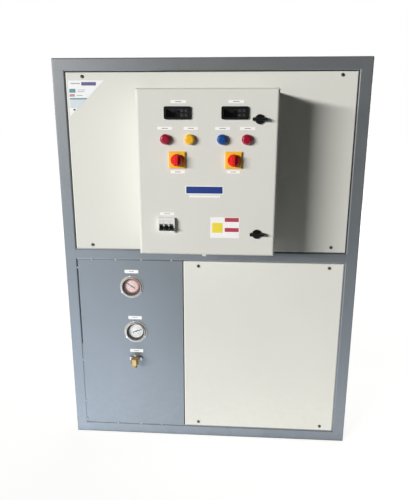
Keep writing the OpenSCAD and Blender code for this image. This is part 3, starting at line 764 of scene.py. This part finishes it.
def coat(finish: Finish, *nodes: str) -> None:
    """Gives nodes of the CAD frame a finish.

    Args:
        finish: Finish of the nodes.
        *nodes: Names of the nodes.
    """
    for name in nodes:
        finish.cover(frame["nodes"][name])
        LOG.info("%s: coated with %s", name, finish.name)


WHITE = (1.0, 1.0, 1.0, 1.0)
DAY = (1.0, 0.99, 0.96)
SHINE = (0.66, 0.81, 1.0)
FLOOR_NEAR = -0.377
FLOOR_LEVEL = 2 * MM


@dataclass(frozen=True)
class Lamp:
    """Soft light panel, which the camera itself doesn't see."""

    name: str
    place: Point
    aim: Point
    size: Pair
    radiance: float
    tint: Point
    gloss_only: bool = False
    spread: float = 180.0

    def add(self) -> None:
        """Adds the panel at its place, facing its aim."""
        data = bpy.data.lights.new(self.name, "AREA")
        data.shape, data.size, data.size_y = "RECTANGLE", self.size[0], self.size[1]
        data.energy = self.radiance * math.pi * self.size[0] * self.size[1]
        data.color, data.spread = self.tint, math.radians(self.spread)
        light = bpy.data.objects.new(self.name, data)
        look = (Vector(self.aim) - Vector(self.place)).to_track_quat("-Z", "Y")
        light.matrix_world = Matrix.Translation(self.place) @ look.to_matrix().to_4x4()
        light.visible_camera = False
        light.visible_diffuse = not self.gloss_only
        bpy.context.scene.collection.objects.link(light)
        LOG.info("%s: %.0f W", self.name, data.energy)


def shine_strip(left: float, right: float, radiance: float, far: float = -2.05) -> Lamp:
    """Describes one strip of the bright floor in front of the chiller, which shows in glossy paint only.

    Args:
        left: Left edge along X.
        right: Right edge along X.
        radiance: Brightness of the strip.
        far: Far edge along Y.

    Returns:
        The strip, facing up.
    """
    middle = ((left + right) / 2, (FLOOR_NEAR + far) / 2)
    return Lamp(f"floor_shine_{radiance}", (*middle, FLOOR_LEVEL), (*middle, 1.0),
                (right - left, FLOOR_NEAR - far), radiance, SHINE, True)


LAMPS = (
    shine_strip(-2.6, -0.45, 4.8), shine_strip(-0.45, -0.3, 4.3), shine_strip(-0.3, -0.15, 3.7, -1.5),
    shine_strip(-0.15, 0.0, 3.1, -1.1), shine_strip(0.0, 0.2, 2.5, -1.0), shine_strip(0.2, 0.6, 1.9, -1.1),
    shine_strip(0.6, 1.6, 2.2),
    Lamp("window", (-14.7, -16.4, 5.07), (0.0, -0.375, 0.75), (10.5, 1.3), 129.0, DAY),
    Lamp("far_shine", (-2.9, -4.1, FLOOR_LEVEL), (-2.9, -4.1, 1.0), (3.8, 3.8), 3.4, SHINE, True),
    Lamp("left_wall", (-4.8, -7.0, 1.4), (-0.45, -0.375, 1.1), (2.4, 2.6), 1.4, SHINE, True),
    Lamp("floor_bounce", (0.45, -0.6, 0.003), (0.45, -0.6, 1.0), (2.1, 0.42), 0.46, (1.0, 0.98, 0.94)),
    Lamp("roof", (0.0, 0.2, 2.4), (0.0, 0.2, 0.0), (1.3, 0.5), 1.5, DAY, False, 70.0),
    Lamp("rear_soft", (3.4, 3.6, 0.9), (0.3, 0.2, 0.75), (3.2, 1.6), 12.0, DAY),
)


@dataclass
class Studio:
    """Camera at the photograph's place, light from the left, the shine of a bright floor and a pale floor."""

    eye: Point = (0.0932, -2.0079, 1.1572)
    yaw: float = 3.828
    pitch: float = 14.910
    roll: float = 0.062
    lens: float = 36.0
    sensor: float = 36.0
    sight: Pair = (0.05, 100.0)
    floor_half: float = 30.0
    floor_colour: Colour = ink(162, 161, 158)
    floor_glow: float = 0.85
    glow_reach: Pair = (1.0, 3.5)
    ambient: float = 0.006
    ambient_tint: Colour = (1.0, 0.95, 0.88, 1.0)

    def place_camera(self) -> None:
        """Adds the camera."""
        data = bpy.data.cameras.new("photo_camera")
        data.lens, data.sensor_width, data.sensor_fit = self.lens, self.sensor, "AUTO"
        data.clip_start, data.clip_end = self.sight
        camera = bpy.data.objects.new("photo_camera", data)
        turn = rotation(self.yaw, "Z") @ rotation(90.0 - self.pitch, "X") @ rotation(self.roll, "Z")
        camera.matrix_world = Matrix.Translation(self.eye) @ turn
        bpy.context.scene.collection.objects.link(camera)
        bpy.context.scene.camera = camera

    @staticmethod
    def seen_directly(tree: bpy.types.NodeTree) -> Socket:
        """Adds a test for rays of the camera and rays through glass.

        Args:
            tree: Nodes to add to.

        Returns:
            One for these rays and zero for all others.
        """
        path, either = tree.nodes.new("ShaderNodeLightPath"), tree.nodes.new("ShaderNodeMath")
        either.operation = "MAXIMUM"
        for i, ray in enumerate(("Is Camera Ray", "Is Transmission Ray")):
            tree.links.new(path.outputs[ray], either.inputs[i])
        return either.outputs[0]

    def set_world(self) -> None:
        """Makes the world white to look at and dim as a light."""
        world = bpy.data.worlds.new("studio_world")
        world.use_nodes = True
        tree = world.node_tree
        lit = plug(tree, tree.nodes["Background"], Color=self.ambient_tint, Strength=self.ambient)
        shown = plug(tree, tree.nodes.new("ShaderNodeBackground"), Color=WHITE, Strength=1.0)
        mix = plug(tree, tree.nodes.new("ShaderNodeMixShader"), Fac=self.seen_directly(tree))
        tree.links.new(lit.outputs[0], mix.inputs[1])
        tree.links.new(shown.outputs[0], mix.inputs[2])
        plug(tree, tree.nodes["World Output"], Surface=mix.outputs[0])
        bpy.context.scene.world = world

    def lay_floor(self) -> None:
        """Lays a pale floor that stays white to the camera and keeps the shadow."""
        deselect()
        bpy.ops.mesh.primitive_plane_add(size=2 * self.floor_half)
        floor = named("studio_floor")
        shader = Shader("floor_paint")
        away, glow = shader.node("VectorMath"), shader.node("Math")
        away.operation, glow.operation = "LENGTH", "MULTIPLY"
        shader.tree.links.new(shader.coords, away.inputs[0])
        fade = shader.span(away.outputs["Value"], self.floor_glow, 1.0, self.glow_reach)
        for i, source in enumerate((self.seen_directly(shader.tree), fade)):
            shader.tree.links.new(source, glow.inputs[i])
        shader.put(Base_Color=shader.clouded(shader.noise(0.8), self.floor_colour, 0.98), Roughness=0.9,
                   Specular_IOR_Level=0.1, Emission_Color=WHITE, Emission_Strength=glow.outputs[0])
        floor.data.materials.append(shader.material)

    def build(self) -> None:
        """Sets up camera, lights, world and floor."""
        bpy.context.scene.view_settings.view_transform = "Standard"
        self.place_camera()
        for lamp in LAMPS:
            lamp.add()
        self.set_world()
        self.lay_floor()


@dataclass
class CabinetFrame:
    """Painted tube frame, with the weld tacks that hold the gauge plate in it and sealer in its seams."""

    seam_half: float = 1.25 * MM
    tack_radius: float = 4.2 * MM
    tack_height: float = 2.4 * MM
    tack_shape: Profile = ((1.0, -1.0), (1.0, 0.0), (0.86, 0.45), (0.5, 0.9), (0.2, 1.0))
    tack_sunk: float = 0.4
    tack_sides: int = 12
    top_tacks: Row = (-0.4036, -0.3208, -0.2313, -0.1265)
    left_tacks: Row = (0.6498, 0.2974, 0.1302, 0.0527)
    bottom_tacks: Row = (-0.3391, -0.2514, -0.1732)
    sealer_width: float = 4.0 * MM
    sealer_depth: float = 2.5 * MM
    sealer_round: float = 0.4 * MM
    sealer_set_back: float = 1.5 * MM
    sealer_top: float = 0.36
    sealer_tuck: float = 30 * MM

    def build(self) -> None:
        """Coats the tubes, sets the tacks on the plate's seam and seals the lower seams."""
        coat(Paints.GREY, "base_long_rails", "base_side_rails", "base_cross_rail", "corner_posts",
             "mid_long_rails", "mid_side_rails", "top_long_rails", "top_side_rails", "gauge_plate")
        # the strips behind the seams carry painted shade in the upper bay
        coat(Paints.SEAM, "panel_strips", "seam_bar")
        coat(Paints.ZINC, "base_pan", "plenum_floor")
        self.tack_plate()
        self.fill_seams()

    def tack_plate(self) -> None:
        """Models one bead of weld and copies it along the plate's seam."""
        low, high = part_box("gauge_plate")
        spots = [(x, high.z + self.seam_half) for x in self.top_tacks]
        spots += [(low.x - self.seam_half, z) for z in self.left_tacks]
        spots += [(x, low.z - self.seam_half) for x in self.bottom_tacks]
        y = FRONT_Y + self.tack_height * self.tack_sunk
        bead = turned("weld_bead", self.tack_shape, self.tack_sides, self.tack_radius, self.tack_height)
        dress(repeated(bead, "weld_tacks", [((x, y, z), Facing.FRONT) for x, z in spots]), Paints.BEAD)

    def fill_seams(self) -> None:
        """Lays beads of sealer, painted over with the frame, into the seams that show no gap."""
        plate_low, plate_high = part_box("gauge_plate")
        panel_low, panel_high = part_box("lower_front_panel")
        upper_low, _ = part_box("upper_front_panel")
        seam = self.seam_half
        left, right, bottom = plate_low.x - seam, panel_high.x + seam, panel_low.z - seam
        top, sill = plate_high.z + seam, upper_low.z - seam
        runs = {
            "sill_sealer": ((upper_low.x, sill), (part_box("control_box")[0].x + self.sealer_tuck, sill)),
            "top_sealer": ((left, top), (plate_high.x, top)),
            "left_sealer": ((left, bottom), (left, self.sealer_top)),
            "bottom_sealer": ((left, bottom), (right, bottom)),
            "right_sealer": ((right, bottom), (right, panel_high.z)),
        }
        y = FRONT_Y + self.sealer_set_back + self.sealer_depth
        for name, ((x0, z0), (x1, z1)) in runs.items():
            width, height = x1 - x0 + self.sealer_width, z1 - z0 + self.sealer_width
            bead = soften(plate(name, width, height, self.sealer_depth), self.sealer_round)
            dress(settle(bead, ((x0 + x1) / 2, y, (z0 + z1) / 2)), Paints.GREY)


STICKER_PRINTS: dict[str, tuple[Edges, Finish]] = {
    "violet_bar": ((42.5, 5, 89.6, 15.5), Paints.LABEL_VIOLET),
    "head_line": ((8, 8, 38, 10.6), Paints.LABEL_GREY),
    "teal_chip": ((2.5, 25.4, 22.6, 37.2), Paints.LABEL_TEAL),
    "rose_chip": ((2.5, 41, 19.8, 49.3), Paints.LABEL_ROSE),
    "first_line": ((29, 28, 54, 29.6), Paints.LABEL_GREY),
    "second_line": ((29, 33, 50, 34.6), Paints.LABEL_GREY),
    "third_line": ((25.5, 44.4, 44.6, 46.4), Paints.LABEL_GREY),
    "teal_band": ((2.5, 53.3, 64, 57.7), Paints.LABEL_TEAL),
    "pale_field": ((2.5, 57.7, 60, 84), Paints.LABEL_SKY),
    "dark_spot": ((11.8, 86.5, 19, 91.5), Paints.DIAL_BLACK),
}


@dataclass
class PanelSet:
    """Sheet panels with their pan-head screws and the corner sticker."""

    head_radius: float = 5.3 * MM
    head_height: float = 4.4 * MM
    head_shape: Profile = ((1.0, 0.0), (1.0, 0.3), (0.95, 0.6), (0.8, 0.84), (0.55, 1.0))
    head_sides: int = 20
    head_turn: float = 17.0
    recess_width: float = 1.4 * MM
    recess_length: float = 5.6 * MM
    recess_floor: float = 0.45
    edge_inset: float = 14 * MM
    side_inset: float = 47 * MM
    sticker_left: float = -0.4480
    sticker_top: float = 1.2680
    sticker_size: Pair = (116.5, 111)
    sticker_corner: float = 1.5 * MM
    sticker_proud: float = 0.25 * MM
    print_proud: float = 0.35 * MM
    slant_lift: float = 0.6 * MM

    def build(self) -> None:
        """Coats the panels and fits the screws and the sticker."""
        coat(Paints.CREAM, "upper_front_panel", "lower_front_panel", "left_panels", "right_panels",
             "rear_panel", "top_panel")
        self.fit_screws()
        self.stick_patch("corner_sticker", (0, 0, *self.sticker_size), self.sticker_proud, Paints.STICKER)
        for name, (edges, finish) in STICKER_PRINTS.items():
            self.stick_patch(f"sticker_{name}", edges, self.print_proud, finish)

    def screw(self) -> Piece:
        """Models one pan-head screw with a cross recess.

        Returns:
            The screw's head, face up.
        """
        head = turned("pan_head", self.head_shape, self.head_sides, self.head_radius, self.head_height)
        for spin in (0.0, 90.0):
            slot = plate("cross_tool", self.recess_length, self.recess_width, self.head_height)
            carve(head, settle(slot, (0.0, 0.0, self.recess_floor * self.head_height), Facing.UP, spin))
        return head

    def front_spots(self) -> list[Spot]:
        """Lists the front panels' screws, as the photograph shows them.

        Returns:
            Their places and facings.
        """
        upper_low, upper_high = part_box("upper_front_panel")
        lower_low, lower_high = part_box("lower_front_panel")
        spots = [(-0.3987, upper_low.z + 14 * MM), (-0.4020, upper_high.z - 13 * MM),
                 (0.4062, upper_low.z + 18 * MM), (0.4070, upper_high.z - 11 * MM),
                 (lower_low.x + 50 * MM, lower_low.z + 16.6 * MM),
                 (lower_low.x + 51 * MM, lower_high.z - 16 * MM),
                 (lower_high.x - 47 * MM, lower_low.z + 17.4 * MM),
                 (lower_high.x - 50 * MM, lower_high.z - 15 * MM)]
        return [((x, FRONT_Y, z), Facing.FRONT) for x, z in spots]

    def hidden_spots(self) -> list[Spot]:
        """Lists the screws on the sides, the rear and the top.

        Returns:
            Their places and facings.
        """
        spots: list[Spot] = []
        edge, side = self.edge_inset, self.side_inset
        upper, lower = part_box("upper_front_panel"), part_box("lower_front_panel")
        levels = [z for low, high in (upper, lower) for z in (low.z + edge, high.z - edge)]
        for node, facing in (("left_panels", Facing.LEFT), ("right_panels", Facing.RIGHT)):
            low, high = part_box(node)
            x = low.x if facing is Facing.LEFT else high.x
            spots += [((x, y, z), facing) for z in levels for y in (low.y + side, high.y - side)]
        low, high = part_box("rear_panel")
        spots += [((x, high.y, z), Facing.BACK) for x in (low.x + side, high.x - side)
                  for z in (low.z + edge, high.z - edge)]
        low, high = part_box("top_panel")
        spots += [((x, y, high.z), Facing.UP) for x in (low.x + side, high.x - side)
                  for y in (low.y + edge, high.y - edge)]
        return spots

    def fit_screws(self) -> None:
        """Copies the screw to every place and joins those of the front and those of the other sides."""
        for name, spots in (("front_screws", self.front_spots()), ("other_screws", self.hidden_spots())):
            dress(repeated(self.screw(), name, spots, self.head_turn), Paints.SCREW)

    def stick_patch(self, name: str, edges: Edges, proud: float, finish: Finish) -> None:
        """Sticks one band of the three-cornered vinyl on and cuts it on the slant of the vinyl.

        Args:
            name: Name of the band.
            edges: Left, upper, right and lower edge in millimetres from the upper left corner.
            proud: Height in front of the panel.
            finish: Finish of the band.
        """
        left, top = self.sticker_left, self.sticker_top
        width, height = (v * MM for v in self.sticker_size)
        x0, z0, x1, z1 = (v * MM for v in edges)
        piece = plate(name, x1 - x0, z1 - z0, proud, min(self.sticker_corner, (z1 - z0) / 2.5))
        settle(piece, (left + (x0 + x1) / 2, FRONT_Y, top - (z0 + z1) / 2))
        with Editing(piece):
            bpy.ops.mesh.bisect(plane_co=(left, 0.0, top - height + self.slant_lift),
                                plane_no=(height, 0.0, -width), use_fill=True, clear_outer=True,
                                threshold=0.001 * MM)
            close_up()
        dress(piece, finish)


@dataclass
class PressureGauge:
    """Dial, inner ring, screws and label of one panel gauge."""

    name: str
    middle: Pair
    face: Finish
    band: Finish
    numbers: tuple[int, ...]
    label: Pair
    sides: int = 64
    dial_depth: float = 5 * MM
    face_shape: Profile = ((30.8, 0.0), (30.8, 0.1), (30.7, 0.15))
    band_shape: Profile = ((25.0, 0.0), (25.0, 0.1), (20.8, 0.1), (20.8, 0.0))
    ring_shape: Profile = ((31.4, 0.3), (31.4, 6.8), (30.8, 6.8), (25.8, 1.0), (25.0, 0.5), (25.0, 0.3))
    face_height: float = 0.15 * MM
    seen_radius: float = 25.0 * MM
    sweep: float = 270.0
    marks_each: int = 5
    mark_inset: float = 5.2 * MM
    mark_height: float = 0.08 * MM
    long_mark: Pair = (3.6 * MM, 0.5 * MM)
    short_mark: Pair = (2.2 * MM, 0.3 * MM)
    numeral_size: float = 4.4 * MM
    numeral_depth: float = 0.04 * MM
    numeral_inset: float = 12.2 * MM
    flange: float = 2 * MM
    screw_circle: float = 38.5 * MM
    screw_angles: Row = (96.0, 212.0, -28.0)
    screw_radius: float = 3.3 * MM
    screw_shape: Profile = ((1.0, 0.0), (1.0, 0.7), (0.84, 1.5), (0.5, 1.9))
    screw_sides: int = 16
    screw_turns: Pair = (40.0, 15.0)
    slot_size: Point = (8 * MM, 0.8 * MM, 2 * MM)
    slot_floor: float = 1.2 * MM

    def at(self, proud: float, away: float = 0.0, angle: float = 0.0) -> Point:
        """Returns a place in front of the dial, at a distance and an angle from the gauge's axis."""
        x, z = self.middle
        return (x + away * math.cos(angle), FRONT_Y + self.dial_depth - proud, z + away * math.sin(angle))

    def build(self) -> None:
        """Makes the printed dial, the inner ring, the flange's screws and the label."""
        face = turned(f"{self.name}_dial_face", self.face_shape, self.sides)
        dress(settle(face, self.at(0.0)), self.face)
        band = turned(f"{self.name}_dial_band", self.band_shape, self.sides, ring=True)
        dress(settle(band, self.at(self.face_height)), self.band)
        self.mark_scale()
        ring = turned(f"{self.name}_inner_ring", self.ring_shape, self.sides, ring=True)
        dress(settle(ring, self.at(0.0)), Paints.INNER_RING)
        self.screw_flange()
        LabelStrip(f"{self.name}_label", self.label).build()

    def mark_scale(self) -> None:
        """Prints the scale's marks and numbers."""
        marks: list[Piece] = []
        start, steps = 90.0 + self.sweep / 2, len(self.numbers) - 1
        count = self.marks_each * steps
        for i in range(count + 1):
            angle = start - self.sweep * i / count
            reach, width = self.short_mark if i % self.marks_each else self.long_mark
            mark = plate(f"{self.name}_mark_{i}", reach, width, self.mark_height)
            away = self.seen_radius - self.mark_inset - reach / 2
            marks.append(settle(mark, self.at(self.face_height, away, math.radians(angle)), spin=angle))
        for i, number in enumerate(self.numbers):
            marks.append(self.numeral(i, str(number), math.radians(start - self.sweep * i / steps)))
        dress(joined(f"{self.name}_scale", marks), Paints.DIAL_BLACK)

    def numeral(self, count: int, digits: str, angle: float) -> Piece:
        """Makes one number of the scale.

        Args:
            count: Place of the number in the scale.
            digits: Digits of the number.
            angle: Direction from the dial's middle.

        Returns:
            The number as a mesh on the dial.
        """
        deselect()
        bpy.ops.object.text_add()
        text = bpy.context.object.data
        text.body, text.align_x, text.align_y = digits, "CENTER", "CENTER"
        text.size, text.extrude, text.resolution_u = self.numeral_size, self.numeral_depth, 2
        bpy.ops.object.convert(target="MESH")
        proud, away = self.face_height + self.numeral_depth, self.seen_radius - self.numeral_inset
        return settle(named(f"{self.name}_number_{count}"), self.at(proud, away, angle))

    def screw_flange(self) -> None:
        """Fits three screws in the flange, at the top and low at both sides."""
        head = turned(f"{self.name}_screw_head", self.screw_shape, self.screw_sides, self.screw_radius)
        carve(head, settle(plate("slot_tool", *self.slot_size), (0.0, 0.0, self.slot_floor), Facing.UP))
        proud = self.dial_depth + self.flange
        spots = [(self.at(proud, self.screw_circle, math.radians(angle)), Facing.FRONT)
                 for angle in self.screw_angles]
        dress(repeated(head, f"{self.name}_screws", spots, *self.screw_turns), Paints.ZINC)


@dataclass
class LabelStrip:
    """Blank label strip with a plain grey line, stuck on the gauge plate."""

    name: str
    middle: Pair
    size: Point = (48 * MM, 12 * MM, 0.3 * MM)
    corner: float = 1.5 * MM
    line_size: Point = (18 * MM, 2.4 * MM, 0.4 * MM)
    line_corner: float = 0.6 * MM

    def build(self) -> None:
        """Sticks the strip and its line on the plate."""
        place = (self.middle[0], FRONT_Y, self.middle[1])
        dress(settle(plate(self.name, *self.size, self.corner), place), Paints.LABEL)
        line = plate(f"{self.name}_print", *self.line_size, self.line_corner)
        dress(settle(line, place), Paints.LABEL_GREY)


@dataclass
class GaugeBoard:
    """Gauges, drain cock and labels on the gauge plate."""

    flange_radius: float = 41 * MM
    upper_label: Pair = (-0.268, 0.6395)
    lower_label: Pair = (-0.261, 0.4685)
    drain_label: Pair = (-0.2595, 0.3410)

    def build(self) -> None:
        """Coats the fittings and builds the details of both gauges and of the cock."""
        coat(Paints.STAINLESS, "gauge_cases")
        coat(Paints.DIAL, "gauge_dials")
        coat(Paints.GLASS, "gauge_lenses")
        coat(Paints.POINTER, "upper_pointer", "lower_pointer")
        coat(Paints.BRASS, "drain_cock")
        low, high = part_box("gauge_cases")
        reach = self.flange_radius
        PressureGauge("upper_gauge", (low.x + reach, high.z - reach), Paints.PINK_DIAL, Paints.DIAL_RED,
                      tuple(range(0, 31, 5)), self.upper_label).build()
        PressureGauge("lower_gauge", (high.x - reach, low.z + reach), Paints.DIAL, Paints.DIAL,
                      tuple(range(0, 11, 2)), self.lower_label).build()
        LabelStrip("drain_label", self.drain_label).build()


DOOR_STRIPS: dict[str, Point] = {
    "left_controller": (-96, -52.5, 1193.6), "right_controller": (64, 107.5, 1193.6),
    "first_lamp": (-134.5, -92, 1121.8), "second_lamp": (-60, -19.5, 1121.8),
    "third_lamp": (28, 70, 1121.8), "fourth_lamp": (97, 140, 1121.8),
    "left_switch": (-98.5, -57.5, 1000.6), "right_switch": (61, 99.5, 1001.6),
    "breaker": (-132.5, -90, 878.4),
}
DOOR_PATCHES: dict[str, tuple[Edges, float, Finish, float]] = {
    "door_plate": ((-56.5, 52.8, 941.2, 965.6), 0.4, Paints.LABEL, 1.0),
    "door_plate_field": ((-54.3, 50.6, 943.4, 963.4), 0.55, Paints.LABEL_BLUE, 1.0),
    "door_plate_line": ((-46, 44, 932, 937.5), 0.3, Paints.LABEL, 1.0),
    "door_vinyl": ((16, 101, 812.6, 874.2), 0.3, Paints.LABEL, 1.0),
    "vinyl_yellow_field": ((21, 52, 828, 858), 0.4, Paints.LABEL_YELLOW, 2.0),
    "vinyl_upper_bar": ((58, 99, 861, 873), 0.4, Paints.LABEL_RED, 1.0),
    "vinyl_lower_bar": ((58, 99, 831, 843), 0.4, Paints.LABEL_RED, 1.0),
}


@dataclass
class ControlDoor:
    """Door of the control box with its labels, whose sizes are in millimetres, and its fittings' faces."""

    strip_height: float = 8.4
    strip_proud: float = 0.35
    strip_corner: float = 1.5
    line_share: float = 0.2
    line_inset: float = 3.2
    line_proud: float = 0.45
    line_corner: float = 0.5
    tab_size: Point = (12 * MM, 9 * MM, 1.2 * MM)
    tab_corner: float = 3.5 * MM
    tab_x: float = -2 * MM
    tab_set_back: float = 3 * MM
    tab_lift: float = 0.6 * MM
    edge_round: float = 0.3 * MM
    controller_half: float = 37.5 * MM
    recess_depth: float = 1.5 * MM
    window_size: Point = (40 * MM, 24 * MM, 0.9 * MM)
    window_rim: float = 1.2 * MM
    window_sunk: float = 0.3 * MM
    window_shift: float = 11 * MM
    key_size: Point = (8.5 * MM, 8 * MM, 1.2 * MM)
    key_corner: float = 1.5 * MM
    key_spots: Profile = ((14.5 * MM, 6 * MM), (26 * MM, 6 * MM), (14.5 * MM, -6 * MM), (26 * MM, -6 * MM))

    def build(self) -> None:
        """Coats the door's nodes and adds labels, controller faces and the tab."""
        coat(Paints.CREAM, "control_box", "control_door", "box_hinges", "door_hinges")
        coat(Paints.DULL_ZINC, "mounting_plate")
        coat(Paints.RUBBER, "box_gasket")
        coat(Paints.BLACK, "controllers", "breaker_toggle", "upper_latch", "lower_latch")
        coat(Paints.BEZEL, "lamp_bezels")
        coat(Paints.RED_LENS, "red_lenses")
        coat(Paints.YELLOW_LENS, "yellow_lens")
        coat(Paints.BLUE_LENS, "blue_lens")
        coat(Paints.YELLOW, "switch_plates")
        coat(Paints.KNOB, "left_knob", "right_knob")
        coat(Paints.BREAKER, "breaker")
        self.stick_strips()
        for name, (edges, proud, finish, corner) in DOOR_PATCHES.items():
            self.patch(name, edges, proud, finish, corner)
        self.face_controllers()
        self.hang_tab()

    def hang_tab(self) -> None:
        """Fits the small white tab at the middle of the door's lower edge."""
        low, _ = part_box("control_door")
        tab = soften(plate("door_tab", *self.tab_size, self.tab_corner), self.edge_round)
        place = (self.tab_x, low.y + self.tab_set_back, low.z + self.tab_lift)
        dress(settle(tab, place), Paints.CREAM, "control_door")

    def patch(self, name: str, edges: Edges, proud: float, finish: Finish, corner: float) -> None:
        """Sticks one flat patch on the door, all in millimetres.

        Args:
            name: Name of the patch.
            edges: Left, right, lower and upper edge.
            proud: Height in front of the door.
            finish: Finish of the patch.
            corner: Radius of its corners.
        """
        left, right, lower, upper = (v * MM for v in edges)
        piece = plate(name, right - left, upper - lower, proud * MM, corner * MM)
        settle(piece, ((left + right) / 2, DOOR_Y, (lower + upper) / 2))
        dress(piece, finish, "control_door")

    def stick_strips(self) -> None:
        """Sticks the blank label strips by each fitting."""
        for name, (left, right, lower) in DOOR_STRIPS.items():
            upper, middle = lower + self.strip_height, (left + right) / 2
            half = self.line_share * (right - left)
            strip = (left, right, lower, upper)
            self.patch(f"{name}_label", strip, self.strip_proud, Paints.LABEL, self.strip_corner)
            line = (middle - half, middle + half, lower + self.line_inset, upper - self.line_inset)
            self.patch(f"{name}_print", line, self.line_proud, Paints.LABEL_GREY, self.line_corner)

    def face_controllers(self) -> None:
        """Sets a dark window and four keys into each controller's recess."""
        low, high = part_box("controllers")
        face, level = low.y + self.recess_depth, (low.z + high.z) / 2
        half = self.controller_half
        for side, centre in (("left", low.x + half), ("right", high.x - half)):
            window = plate(f"{side}_display", *self.window_size, self.key_corner)
            with Editing(window, lambda _, normal: normal.z > 0.9):
                bpy.ops.mesh.inset(thickness=self.window_rim)
                bpy.ops.transform.translate(value=(0.0, 0.0, -self.window_sunk))
            dress(settle(window, (centre - self.window_shift, face, level)), Paints.WINDOW, "control_door")
            key = soften(plate(f"{side}_key", *self.key_size, self.key_corner), self.edge_round)
            spots = [((centre + x, face, level + z), Facing.FRONT) for x, z in self.key_spots]
            dress(repeated(key, f"{side}_keys", spots), Paints.BUTTON, "control_door")


@dataclass
class AirSide:
    """Condenser coil at the rear and fan on the top."""

    fin_thickness: float = 0.4 * MM
    fin_depth: float = 12.5 * MM
    fin_set_back: float = 1.2 * MM
    slot_pitch: float = 12 * MM
    rib: float = 4 * MM
    frame: float = 3 * MM
    guard_screws: int = 6
    clip_size: Point = (34 * MM, 14 * MM, 2 * MM)
    clip_corner: float = 4 * MM
    clip_round: float = 0.5 * MM
    clip_reach: float = 7 * MM
    screw_shape: Profile = ((5.0, 0.0), (5.0, 2.2), (4.2, 3.2))
    screw_sides: int = 6
    screw_reach: float = 1.015
    screw_turn: float = 20.0

    def build(self) -> None:
        """Coats coil and fan, adds the fine fins and the guard's screws."""
        coat(Paints.FIN_STOCK, "condenser_coil")
        coat(Paints.GREY, "fan_ring")
        coat(Paints.BLACK_COAT, "fan_guard", "fan_motor")
        coat(Paints.ENAMEL, "fan_rotor")
        self.set_fins()
        self.screw_guard()

    def set_fins(self) -> None:
        """Models the two fine fins of one slot and repeats them over the coil."""
        low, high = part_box("condenser_coil")
        height = high.z - low.z - 2 * self.frame
        gap, first = self.slot_pitch - self.rib, low.x + self.frame + self.rib
        y, level = high.y - self.fin_set_back - self.fin_depth, (low.z + high.z) / 2
        pair = []
        for i in (1, 2):
            fin = plate(f"fin_{i}", self.fin_thickness, height, self.fin_depth)
            pair.append(settle(fin, (first + gap * i / 3, y, level), Facing.BACK))
        fins = joined("coil_fins", pair)
        count = int((high.x - low.x - 2 * self.frame - self.rib) / self.slot_pitch)
        apply_modifier(fins, "ARRAY", count=count, use_relative_offset=False, use_constant_offset=True,
                       constant_offset_displace=(self.slot_pitch, 0.0, 0.0))
        dress(fins, Paints.FIN_STOCK)

    def screw_guard(self) -> None:
        """Fits the clips and screws that hold the guard on the top panel."""
        low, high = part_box("fan_guard")
        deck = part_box("top_panel")[1].z
        reach = (high.x - low.x) / 2 + self.clip_reach
        step = 360.0 / self.guard_screws
        ways = [math.radians(step * (i + 0.5)) for i in range(self.guard_screws)]
        clip = soften(plate("guard_clip", *self.clip_size, self.clip_corner), self.clip_round)
        spots = [((reach * math.cos(way), reach * math.sin(way), deck), Facing.UP) for way in ways]
        dress(repeated(clip, "guard_clips", spots, step, step / 2), Paints.BLACK_COAT)
        head, out = turned("clip_screw", self.screw_shape, self.screw_sides), self.screw_reach
        spots = [((x * out, y * out, z + self.clip_size[2]), facing) for (x, y, z), facing in spots]
        dress(repeated(head, "guard_screws", spots, self.screw_turn), Paints.ZINC)


@dataclass
class WaterSockets:
    """Pipe sockets in the rear panel, with their threads, whose sizes are in millimetres."""

    bore: float = 19.5
    clearance: float = 0.05
    teeth: int = 9
    pitch: float = 2.3
    tooth: float = 1.2
    root: float = 0.1
    set_back: float = 1 * MM
    sides: int = 40

    def build(self) -> None:
        """Coats the sockets and cuts a thread in each mouth."""
        coat(Paints.ZINC, "water_sockets")
        low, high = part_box("water_sockets")
        outer, wall = (high.z - low.z) / 2, self.bore - self.clearance
        profile = [(wall, 0.0)]
        for i in range(self.teeth):
            profile += [(wall - self.tooth, -(i + 0.5) * self.pitch),
                        (wall - self.root, -(i + 1) * self.pitch)]
        profile += [(wall, -self.teeth * self.pitch)]
        for name, x in (("inlet_thread", low.x + outer), ("outlet_thread", high.x - outer)):
            ring = turned(name, profile, self.sides, ring=True)
            dress(settle(ring, (x, high.y - self.set_back, (low.z + high.z) / 2), Facing.BACK), Paints.ZINC)


def main() -> None:
    """Builds the studio and every sub-assembly."""
    logging.basicConfig(level=logging.INFO, format="%(name)s %(message)s")
    for part in (Studio(), CabinetFrame(), PanelSet(), GaugeBoard(), ControlDoor(), AirSide(),
                 WaterSockets()):
        LOG.info("building %s", type(part).__name__)
        part.build()


if __name__ == "__main__":
    main()
